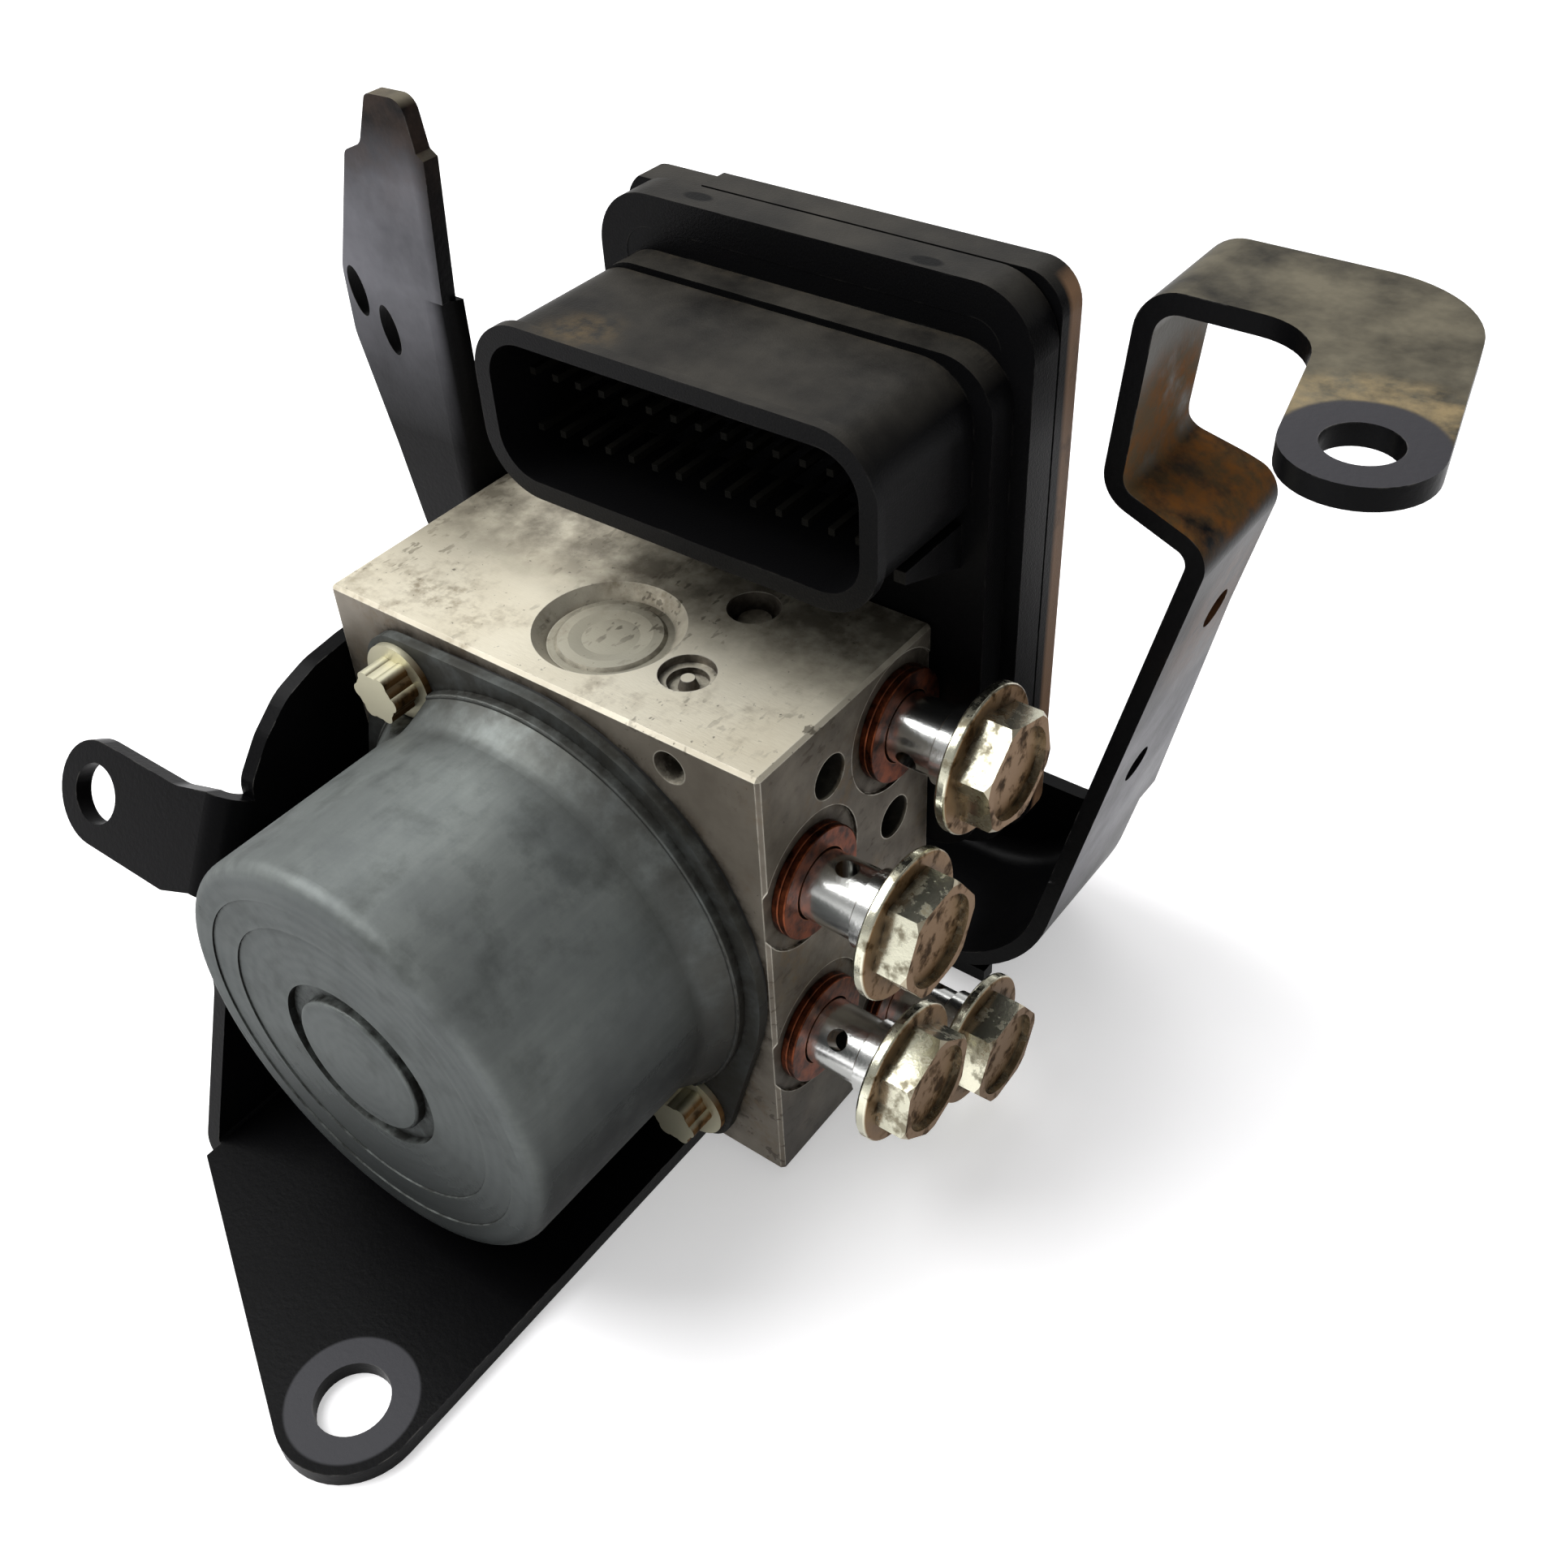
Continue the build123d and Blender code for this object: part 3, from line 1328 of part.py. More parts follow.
def bracket():
    body = base_plate() + foot_tub() + left_wall() + side_lug() + strap() + right_arm()
    for y, z in wall_screws:
        body -= peg(left_frame(wall_inner, y, z), wall_screw_radius + hole_clearance, sheet)
    return body


def bracket_screws():
    """Flanged hexagon screws through the left wall into the block."""
    screws = []
    for y, z in wall_screws:
        frame = left_frame(block_left, y, z)
        start = wall_screw_gap - wall_screw_bite
        shank = peg(frame, wall_screw_radius, sheet - start, start)
        flange = peg(frame, wall_screw_flange_radius, wall_screw_flange, sheet)
        hexagon = RegularPolygon(wall_screw_head_across / 2, hex_sides, major_radius=False)
        head = frame * Pos(0, 0, sheet) * extrude(
            hexagon, amount=wall_screw_head_height + wall_screw_flange
        )
        screws.append(shank + flange + head)
    return Compound(children=screws)


# ---- All pieces ----------------------------------------------------------------------------------
def all_parts():
    parts = {
        "hydraulic_block": hydraulic_block(),
        "bleed_plug": bleed_plug(),
        "pump_bore_cap": pump_cap(),
        "banjo_bolts": banjo_bolts(),
        "copper_washers": copper_washers(),
        "motor_can": motor_can(),
        "motor_gasket": motor_gasket(),
        "motor_screws": motor_screws(),
        "motor_shaft": motor_shaft(),
        "cam_ring": cam_ring(),
        "bearing_outer_ring": bearing_ring(
            chamber_radius, chamber_radius - bearing_race
        ),
        "bearing_inner_ring": bearing_ring(
            bearing_seat_radius + bearing_race, bearing_seat_radius
        ),
        "bearing_balls": bearing_balls(),
        "shaft_seal": shaft_seal(),
        "tail_bush": tail_bush(),
        "can_bush": can_bush(),
        "armature_core": armature_core(),
        "armature_windings": armature_windings(),
        "commutator": commutator(),
        "motor_magnets": motor_magnets(),
        "brush_holder": brush_holder(),
        "carbon_brushes": carbon_brushes(),
        "brush_springs": brush_springs(),
        "ecu_housing": ecu_housing(),
        "connector_pins": connector_pins(),
        "circuit_board": circuit_board(),
        "ecu_gasket": ecu_gasket_ring(),
        "ecu_cover": ecu_cover(),
        "ecu_screws": ecu_screw_set(),
        "bracket": bracket(),
        "bracket_screws": bracket_screws(),
    }
    for name, frame in accumulator_frames().items():
        parts[f"accumulator_cap_{name}"] = accumulator_cap(frame)
        parts[f"accumulator_piston_{name}"] = accumulator_piston(frame)
        parts[f"accumulator_spring_{name}"] = accumulator_spring(frame)
    for name, side in (("right", 1), ("left", -1)):
        parts[f"pump_piston_{name}"] = pump_piston(side)
        parts[f"pump_spring_{name}"] = pump_spring(side)
    for number, place in enumerate(valve_places(), 1):
        parts[f"valve_body_{number}"] = valve_body(place)
        parts[f"valve_plunger_{number}"] = valve_plunger(place)
        parts[f"valve_coil_{number}"] = valve_coil(place)
    return parts


os.makedirs("parts", exist_ok=True)
for part_name, shape in all_parts().items():
    export_step(shape, f"parts/{part_name}.step")
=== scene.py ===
import json

import bpy
import numpy as np
from mathutils import Matrix, Vector


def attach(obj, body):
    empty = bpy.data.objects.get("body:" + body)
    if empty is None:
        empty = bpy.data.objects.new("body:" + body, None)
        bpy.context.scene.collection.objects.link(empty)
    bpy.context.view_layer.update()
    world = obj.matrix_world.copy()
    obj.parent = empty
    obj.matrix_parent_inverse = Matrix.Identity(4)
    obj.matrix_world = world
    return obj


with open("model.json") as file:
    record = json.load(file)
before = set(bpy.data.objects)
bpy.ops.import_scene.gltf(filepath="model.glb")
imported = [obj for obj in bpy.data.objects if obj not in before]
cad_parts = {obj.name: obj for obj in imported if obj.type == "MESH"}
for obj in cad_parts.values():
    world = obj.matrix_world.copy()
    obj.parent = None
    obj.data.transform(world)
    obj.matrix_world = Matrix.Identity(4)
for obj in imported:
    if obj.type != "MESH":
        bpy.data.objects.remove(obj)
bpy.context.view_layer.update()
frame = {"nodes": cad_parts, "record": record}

nodes = frame["nodes"]

MM = 0.001

# ---- Camera -----------------------------------------------------------------
CAMERA_PLACE = (0.1141, -0.04834, 0.19858)
CAMERA_RIGHT = (0.80178607, 0.59605506, -0.04309827)
CAMERA_DOWN = (0.36865969, -0.55008518, -0.74933059)
CAMERA_AHEAD = (-0.47035001, 0.58491423, -0.66079211)
CAMERA_LENS = 38.453
CAMERA_SENSOR = 36.0

lens = bpy.data.cameras.new("camera")
lens.sensor_fit = "HORIZONTAL"
lens.sensor_width = CAMERA_SENSOR
lens.lens = CAMERA_LENS
lens.clip_start = 0.005
camera = bpy.data.objects.new("camera", lens)
columns = [Vector(CAMERA_RIGHT), -Vector(CAMERA_DOWN), -Vector(CAMERA_AHEAD)]
turn = Matrix(columns).transposed().to_4x4()
camera.matrix_world = Matrix.Translation(CAMERA_PLACE) @ turn
bpy.context.scene.collection.objects.link(camera)
bpy.context.scene.camera = camera

# ---- Directions, and places on the part in millimetres ----------------------
UP = (0.0, 0.0, 1.0)
FRONT = (0.0, -1.0, 0.0)
RIGHT = (1.0, 0.0, 0.0)
LOW_RIGHT = (0.75, 0.0, -0.66)

MOTOR_AXIS = (-10.9, 39.3)
HOOK_HOLE = (74.3, 88.2, 119.9)
CAP_MIDDLE = (-8.9, 72.5, 75.0)
RIM_MARKS = ((-14.6, 102.7, 119.3), (18.9, 101.6, 119.3))
MARK_SQUEEZE = (0.5, 1.0, 0.4)
MARK_GONE, MARK_FULL = 1.2, 0.9

# Round places: the middle, how far from it a share is whole, and from where it is gone
CAP_FACE = (CAP_MIDDLE, 8.0, 8.3)
CAP_EDGE = (CAP_MIDDLE, 9.3, 10.2)
OPEN_HOLES = (((19.0, 72.9, 66.7), 5.9, 6.3), ((19.0, 86.9, 49.5), 5.9, 6.3))
LUG_WASHER = ((0.0, 0.0, 2.5), 8.4, 8.9)
HOOK_WASHER = (HOOK_HOLE, 7.6, 8.4)
HOOK_SMEAR = (HOOK_HOLE, 11.5, 15.0)
ARM_LEDGE = ((49.0, 115.0, 95.0), 11.0, 19.0)
ARM_UPPER_HOLE = ((50.7, 121.3, 72.8), 6.0, 15.0)
SOCKET_CORNER = ((-14.4, 79.4, 112.2), 1.0, 7.0)

# The control unit's raised front: its rounded top, its depth and the front of the rim above it
FRONT_LEFT, FRONT_RIGHT, FRONT_TOP = -26.6, 31.8, 112.4
FRONT_CORNER = 7.0
FRONT_START, RIM_FRONT = 96.6, 100.0

# Stretches along an axis of the part: the axis, then where a share is 0 and where it is 1
BLOCK_UNDER_SOCKET = ("Y", 66, 80)
BLOCK_BY_CONTROL_UNIT = ("Y", 72, 84)
BLOCK_LEFT_END = ("X", -5, -42)
BLOCK_FOOT = ("Z", 34, 12)
STRAP_SIDE = ("X", -46, -49)
STRAP_RISE = ("Z", 81, 104)
STRAP_BELOW_TIP = ("Z", 126, 118)
STRAP_TIP_SIDE = ("X", -44, -47)
STRAP_TIP = ("Z", 112, 124)
ARM_SIDE = ("X", 37, 41)
ARM_LOWER_HALF = ("Z", 70, 54)
ARM_ABOVE_LEDGE = ("Z", 92, 94)
ARM_LEDGE_END = ("X", 58, 54)
ARM_UPRIGHT = (("X", 52, 48), ("X", 38, 40))
HOOK_PLATE = ("Z", 117, 119)
CAN_BY_FLANGE = ("Y", 46, 57)
CAN_END_FOOT = ("Z", 38, 14)
BOLT_HEADS = ("X", 35.8, 36.4)
SMALL_SCREWS = ("X", 23, 22)
CONTROL_UNIT_TOP = ("Z", 104, 108)
COVER_SIDE = ("Y", 107.2, 108.2)

RING_SPACING = 1.9
FULL_TURN = 6.2832


# ---- Small tools ------------------------------------------------------------
def paint(code):
    """An sRGB hex value as a linear RGBA colour."""
    parts = [int(code[i:i + 2], 16) / 255 for i in (0, 2, 4)]
    linear = [c / 12.92 if c <= 0.04045 else ((c + 0.055) / 1.055) ** 2.4 for c in parts]
    return (*linear, 1.0)


def per(size):
    """Texture scale at which one feature is so many millimetres, on coordinates in metres."""
    return 1 / (size * MM)


def metres(point):
    """A place in millimetres as metres."""
    return tuple(value * MM for value in point)


def add(tree, kind, settings=None, inputs=None, output=0):
    """Add one node with its settings and links, and give back one of its outputs."""
    node = tree.nodes.new("ShaderNode" + kind)
    for name, value in (settings or {}).items():
        setattr(node, name, value)
    for key, value in (inputs or {}).items():
        if isinstance(value, bpy.types.NodeSocket):
            tree.links.new(value, node.inputs[key])
        else:
            node.inputs[key].default_value = value
    return node.outputs[output] if node.outputs else node


# Settings of the nodes that mix and reckon
COLOUR = {"data_type": "RGBA"}
TIMES = {"operation": "MULTIPLY"}
PLUS = {"operation": "ADD", "use_clamp": True}
TIMES_PLUS = {"operation": "MULTIPLY_ADD"}
LESS = {"operation": "SUBTRACT", "use_clamp": True}


def start(name):
    """New material: the material, its node tree and the place on the piece in metres."""
    material = bpy.data.materials.new(name)
    material.use_nodes = True
    tree = material.node_tree
    tree.nodes.clear()
    return material, tree, add(tree, "TexCoord", output="Object")


def coat(tree, colour, rough, metallic, height, depth, **more):
    """Shader with its colour, roughness, share of metal and relief in millimetres."""
    normal = add(tree, "Bump", None, {"Height": height, "Distance": depth * MM, "Strength": 1.0})
    shader = add(tree, "BsdfPrincipled", None, {
        "Base Color": colour, "Roughness": rough, "Metallic": metallic, "Normal": normal, **more,
    })
    add(tree, "OutputMaterial", None, {"Surface": shader})


def clouds(tree, place, size, low, high, detail=5.0, stretch=(1.0, 1.0, 1.0)):
    """Share from 0 to 1 in clouds of one size in mm, between two levels of the noise."""
    if stretch != (1.0, 1.0, 1.0):
        place = add(tree, "Mapping", None, {"Vector": place, "Scale": stretch})
    noise = add(tree, "TexNoise", None, {
        "Vector": place, "Scale": per(size), "Detail": detail, "Roughness": 0.62,
    })
    return add(tree, "MapRange", None, {"Value": noise, "From Min": low, "From Max": high})


def together(tree, *shares):
    """Where all the shares hold: their product."""
    product = shares[0]
    for share in shares[1:]:
        product = add(tree, "Math", TIMES, {0: product, 1: share})
    return product


def near(tree, place, centre, full, gone):
    """Share that is 1 closer to a point than one distance and 0 past the other, in mm."""
    distance = add(tree, "VectorMath", {"operation": "DISTANCE"}, {
        0: place, 1: metres(centre),
    }, "Value")
    return add(tree, "MapRange", {"interpolation_type": "SMOOTHSTEP"}, {
        "Value": distance, "From Min": gone * MM, "From Max": full * MM,
    })


def past(tree, place, axis, start_at, end_at):
    """Share that goes from 0 to 1 between two places along an axis of the part, in mm."""
    value = add(tree, "SeparateXYZ", None, {0: place}, axis)
    return add(tree, "MapRange", None, {
        "Value": value, "From Min": start_at * MM, "From Max": end_at * MM,
    })


def facing(tree, direction, low=0.0, high=1.0):
    """How much a surface faces a fixed direction of the part, 0 to 1."""
    normal = add(tree, "NewGeometry", output="Normal")
    dot = add(tree, "VectorMath", {"operation": "DOT_PRODUCT"}, {0: normal, 1: direction}, "Value")
    return add(tree, "MapRange", None, {"Value": dot, "From Min": low, "From Max": high})


def worn_edges(tree, radius):
    """Near 1 on sharp edges and 0 on flats: how far a rounded normal leaves the true one."""
    rounded = add(tree, "Bevel", {"samples": 6}, {"Radius": radius * MM})
    normal = add(tree, "NewGeometry", output="Normal")
    dot = add(tree, "VectorMath", {"operation": "DOT_PRODUCT"}, {0: rounded, 1: normal}, "Value")
    return add(tree, "MapRange", None, {"Value": dot, "From Min": 0.99, "From Max": 0.86})


def crevices(tree, reach, low=0.1, high=0.6):
    """Near 1 in corners and under pieces, where dirt settles and shade falls."""
    shade = add(tree, "AmbientOcclusion", {"samples": 6}, {"Distance": reach * MM}, "AO")
    return add(tree, "MapRange", None, {
        "Value": shade, "From Min": 1.0 - low, "From Max": 1.0 - high,
    })


def laid(tree, under, *layers):
    """Colour under layers of other colours, each with its share."""
    for share, over in layers:
        under = add(tree, "Mix", COLOUR, {0: share, 6: under, 7: over}, 2)
    return under


# ---- Materials --------------------------------------------------------------
# Black surfaces get little gloss: soft light from all round would turn them grey
COAT_GLOSS = {"Specular IOR Level": 0.055}
NYLON_GLOSS = {"Specular IOR Level": 0.05}
PIN_GLOSS = {"Specular IOR Level": 0.03}


def milled_aluminium():
    """Aluminium, extruded and face milled: pale warm metal, fine cutter marks, stains, dirt."""
    material, tree, place = start("milled_aluminium")
    up = facing(tree, UP, 0.3, 0.9)
    broad = clouds(tree, place, 26, 0.35, 0.7)
    # The top is clean and creamy; the sides are darker brown, partly a dull film and partly painted
    # shade, the right side darkest
    top = laid(tree, paint("E8E2CF"), (broad, paint("D0C8B3")))
    side = laid(tree, paint("8B8478"), (broad, paint("5F584D")))
    right_film_and_shade = together(tree, facing(tree, RIGHT, 0.3, 0.9), clouds(tree, place, 9, 0.3, 0.62))
    side = laid(tree, side, (together(tree, right_film_and_shade, 0.8), paint("4B443B")))
    stain = together(tree, clouds(tree, place, 14, 0.5, 0.68), clouds(tree, place, 1.6, 0.42, 0.62))
    scribble = together(
        tree, clouds(tree, place, 18, 0.48, 0.62),
        clouds(tree, place, 1.3, 0.60, 0.64, 2.0, (1.0, 0.45, 1.0)),
    )
    # Dark in corners: dirt and painted shade
    dirt = together(tree, crevices(tree, 6.0), clouds(tree, place, 2.5, 0.28, 0.6))
    specks = clouds(tree, place, 0.8, 0.68, 0.72, 3.0)
    # Bright worn edges, partly a painted highlight
    edges = together(tree, worn_edges(tree, 0.35), clouds(tree, place, 3.0, 0.3, 0.5))
    # Dirt and painted shadow on the top by the control unit; the right side darker towards its
    # foot; painted shade in that side's open holes
    rear = together(
        tree, up, past(tree, place, *BLOCK_BY_CONTROL_UNIT), clouds(tree, place, 5, 0.25, 0.6),
    )
    right = facing(tree, RIGHT, 0.9, 0.98)
    low = together(tree, right, past(tree, place, *BLOCK_FOOT), clouds(tree, place, 12, 0.1, 0.5))
    open_hole_painted_shade = add(tree, "Math", PLUS, {
        0: near(tree, place, *OPEN_HOLES[0]), 1: near(tree, place, *OPEN_HOLES[1]),
    })
    cap = together(tree, near(tree, place, *CAP_FACE), up)
    # Dark ring round the cap's edge: dirt and painted shade in the groove
    rim = together(tree, near(tree, place, *CAP_EDGE), crevices(tree, 1.5, 0.05, 0.4))
    colour = laid(
        tree, side, (up, top), (edges, paint("D9D4C6")),
        (together(tree, cap, 0.6), paint("8F8E80")),
        (together(tree, rim, 0.7), paint("57503A")),
        (together(tree, stain, 0.75), paint("6B5A42")),
        (together(tree, scribble, 0.7), paint("3B3226")),
        # Painted shadow of the socket on the top, towards the control unit
        (together(tree, up, past(tree, place, *BLOCK_UNDER_SOCKET), 0.35), paint("6E6A5C")),
        # Painted shade: the top darker towards its left end
        (together(tree, up, past(tree, place, *BLOCK_LEFT_END), 0.3), paint("A69C84")),
        # Dirt and painted shadow by the control unit
        (together(tree, rear, 0.75), paint("4A4234")),
        # The right side darker towards its foot
        (together(tree, low, 0.7), paint("26231E")),
        # Dirt and painted shade in corners
        (together(tree, dirt, 0.95), paint("2B241B")),
        # Painted shade in the open holes of the right side
        (together(tree, open_hole_painted_shade, 0.9), paint("12100D")),
        (together(tree, specks, 0.6), paint("2C2822")),
    )
    rough = add(tree, "Math", TIMES_PLUS, {0: broad, 1: 0.1, 2: 0.5})
    rough = add(tree, "Math", TIMES_PLUS, {0: dirt, 1: 0.3, 2: rough})
    marks = clouds(tree, place, 0.35, 0.3, 0.7, 3.0, (0.25, 1.0, 1.0))
    coat(tree, colour, rough, 0.6, marks, 0.008)
    return material


def black_coat():
    """Steel, pressed and dip coated black: satin, hazy, with painted sheen and reflection, dusty on
    top, rusty in the fold.
    """
    material, tree, place = start("black_coated_steel")
    broad = clouds(tree, place, 24, 0.35, 0.68)
    fine = clouds(tree, place, 2.6, 0.4, 0.66)
    # Pale haze and painted sheen on the tall strap's front face, which stands in the open.
    strap = together(
        tree, past(tree, place, *STRAP_SIDE), past(tree, place, *STRAP_RISE),
        facing(tree, FRONT, 0.85, 0.97),
    )
    strap_haze_and_sheen = together(
        tree, strap, add(tree, "Math", TIMES_PLUS, {0: broad, 1: 0.5, 2: 0.35}),
        past(tree, place, *STRAP_BELOW_TIP),
    )
    # Painted reflection on the lower half of the arm's outer face
    arm_painted_reflection = together(
        tree, facing(tree, RIGHT, 0.9, 0.97), past(tree, place, *ARM_SIDE),
        past(tree, place, *ARM_LOWER_HALF), clouds(tree, place, 18, 0.2, 0.6),
    )
    rusty_top = together(
        tree, past(tree, place, *STRAP_TIP_SIDE), past(tree, place, *STRAP_TIP),
        clouds(tree, place, 5, 0.35, 0.6),
    )
    # Dust lies on the top plate, apart from the ring that a washer kept clean
    high = together(tree, past(tree, place, *HOOK_PLATE), facing(tree, UP, 0.5, 0.9))
    washer = near(tree, place, *HOOK_WASHER)
    open_top = add(tree, "Math", LESS, {0: high, 1: washer})
    dust = together(tree, open_top, clouds(tree, place, 15, 0.3, 0.62))
    smear = together(
        tree, open_top, near(tree, place, *HOOK_SMEAR), clouds(tree, place, 7, 0.42, 0.6),
    )
    # The spot where a washer sat on the front lug is worn pale
    seat = together(tree, near(tree, place, *LUG_WASHER), facing(tree, UP, 0.5, 0.9))
    ledge = together(tree, near(tree, place, *ARM_LEDGE), past(tree, place, *ARM_LEDGE_END))
    inside = add(tree, "Math", PLUS, {
        0: together(tree, facing(tree, RIGHT, 0.6, 0.95), past(tree, place, *ARM_ABOVE_LEDGE)),
        1: facing(tree, UP, 0.1, 0.5),
    })
    rust = together(tree, ledge, inside, clouds(tree, place, 7, 0.3, 0.52))
    upright = together(
        tree, facing(tree, RIGHT, 0.6, 0.95), past(tree, place, *ARM_ABOVE_LEDGE),
        past(tree, place, *ARM_UPRIGHT[0]), past(tree, place, *ARM_UPRIGHT[1]),
    )
    brown_spot = together(
        tree, near(tree, place, *ARM_UPPER_HOLE), clouds(tree, place, 4, 0.35, 0.55),
    )
    edges = together(tree, worn_edges(tree, 0.3), clouds(tree, place, 4.0, 0.5, 0.6))
    colour = laid(
        tree, paint("070708"), (strap_haze_and_sheen, paint("7A7A80")),
        (together(tree, arm_painted_reflection, 0.6), paint("94949A")),
        (together(tree, rusty_top, 0.35), paint("4A3A30")),
        (together(tree, dust, 0.6), paint("857E6C")),
        (together(tree, smear, 0.6), paint("A08C66")),
        (together(tree, seat, 0.5), paint("5A5A5E")),
        (together(tree, upright, 0.5), paint("6E6A60")),
        (together(tree, rust, 0.7), paint("5E4A30")),
        (together(tree, rust, fine, 0.7), paint("7A4A1C")),
        (together(tree, brown_spot, 0.65), paint("4A2F1A")),
        (together(tree, washer, high, 0.35), paint("5C5B60")),
        (together(tree, edges, 0.4), paint("6A6864")),
    )
    rough = add(tree, "Math", TIMES_PLUS, {0: broad, 1: 0.12, 2: 0.3})
    rough = add(tree, "Math", TIMES_PLUS, {0: rust, 1: 0.5, 2: rough})
    rough = add(tree, "Math", TIMES_PLUS, {0: dust, 1: 0.25, 2: rough})
    grain = clouds(tree, place, 0.7, 0.3, 0.7, 2.0)
    coat(tree, colour, rough, 0.0, grain, 0.012, **COAT_GLOSS)
    return material


def drawn_zinc_steel():
    """Steel, deep drawn and zinc plated: dull grey with smudges, draw lines and turned rings."""
    material, tree, place = start("drawn_zinc_steel")
    broad = clouds(tree, place, 16, 0.3, 0.7)
    smudge = clouds(tree, place, 6, 0.5, 0.7, 6.0)
    lines = clouds(tree, place, 1.4, 0.35, 0.7, 3.0, (1.0, 0.12, 1.0))
    across, _, rise = [add(tree, "SeparateXYZ", None, {0: place}, axis) for axis in "XYZ"]
    flat = add(tree, "CombineXYZ", None, {0: across, 2: rise})
    centre = (MOTOR_AXIS[0] * MM, 0.0, MOTOR_AXIS[1] * MM)
    radius = add(tree, "VectorMath", {"operation": "DISTANCE"}, {0: flat, 1: centre}, "Value")
    # Turned rings on the end face
    wave = add(tree, "Math", {"operation": "SINE"}, {
        0: add(tree, "Math", TIMES, {0: radius, 1: FULL_TURN * per(RING_SPACING)}),
    })
    rings = together(
        tree, add(tree, "MapRange", None, {"Value": wave, "From Min": -1.0}),
        facing(tree, FRONT, 0.8, 1.0),
    )
    grime = together(tree, past(tree, place, *CAN_BY_FLANGE), clouds(tree, place, 5, 0.2, 0.55))
    # Painted shade: the can darker on its low right side, and its end face darker, most towards the
    # bottom
    under = facing(tree, LOW_RIGHT, 0.1, 0.85)
    end = facing(tree, FRONT, 0.7, 0.95)
    # Dark in corners: dirt and painted shade
    dirt = together(tree, crevices(tree, 5.0), clouds(tree, place, 2.0, 0.3, 0.6))
    edges = together(tree, worn_edges(tree, 1.2), clouds(tree, place, 5.0, 0.3, 0.6))
    colour = laid(
        tree, paint("7E8380"), (broad, paint("686C6B")),
        (together(tree, lines, 0.3), paint("595D5D")),
        (together(tree, rings, 0.25), paint("8E9290")),
        (together(tree, edges, 0.4), paint("A3A8A4")),
        # Painted shade on the end face, deeper towards the bottom
        (together(tree, end, 0.65), paint("585C5C")),
        (together(tree, end, past(tree, place, *CAN_END_FOOT), 0.75), paint("2C2E2E")),
        # Painted shade on the low right side
        (together(tree, under, 0.9), paint("191A1A")),
        (together(tree, smudge, 0.5), paint("494C4A")),
        (together(tree, grime, 0.75), paint("35322C")),
        # Dirt and painted shade in corners
        (together(tree, dirt, 0.9), paint("1D1A16")),
    )
    rough = add(tree, "Math", TIMES_PLUS, {0: broad, 1: 0.12, 2: 0.44})
    height = add(tree, "Math", PLUS, {0: clouds(tree, place, 0.5, 0.3, 0.7, 2.0), 1: rings})
    # Grazing reflections are dull, as on a rough plated sheet
    dull = {"Specular Tint": paint("808080"), "Specular IOR Level": 0.3}
    coat(tree, colour, rough, 0.6, height, 0.006, **dull)
    return material


def bright_zinc():
    """Steel, turned and bright zinc plated: clean shanks, brown grime on outward faces."""
    material, tree, place = start("bright_zinc_steel")
    patch = clouds(tree, place, 2.4, 0.5, 0.64, 6.0)
    outer = together(tree, facing(tree, RIGHT, 0.4, 0.9), clouds(tree, place, 6, 0.0, 0.24))
    small = past(tree, place, *SMALL_SCREWS)
    head = past(tree, place, *BOLT_HEADS)
    spots = together(tree, head, patch)
    # Dark in corners: dirt and painted shade
    dirt = together(tree, crevices(tree, 2.5), clouds(tree, place, 1.5, 0.3, 0.6))
    colour = laid(
        tree, paint("E6E7E4"), (head, paint("DEDCC6")), (small, paint("C8C4AC")),
        (together(tree, spots, 0.75), paint("6E6249")),
        (together(tree, outer, 0.95), paint("66461F")),
        (together(tree, outer, patch, 0.85), paint("2C2013")),
        # Dirt and painted shade by the heads
        (together(tree, dirt, head, 0.9), paint("2B2115")),
    )
    rough = add(tree, "Math", TIMES_PLUS, {0: spots, 1: 0.3, 2: 0.2})
    rough = add(tree, "Math", TIMES_PLUS, {0: outer, 1: 0.25, 2: rough})
    rough = add(tree, "Math", TIMES_PLUS, {0: small, 1: 0.3, 2: rough})
    coat(tree, colour, rough, 1.0, clouds(tree, place, 0.6, 0.3, 0.7, 2.0), 0.006)
    return material


def aged_copper():
    """Copper, stamped and annealed: dark red brown with blacker patches and bright edges."""
    material, tree, place = start("aged_copper")
    patch = clouds(tree, place, 2.2, 0.38, 0.62)
    edges = worn_edges(tree, 0.25)
    colour = laid(
        tree, paint("7A4028"), (patch, paint("341C15")),
        (together(tree, edges, 0.5), paint("B9744E")),
    )
    coat(tree, colour, 0.4, 1.0, clouds(tree, place, 0.6, 0.3, 0.7, 2.0), 0.01)
    return material


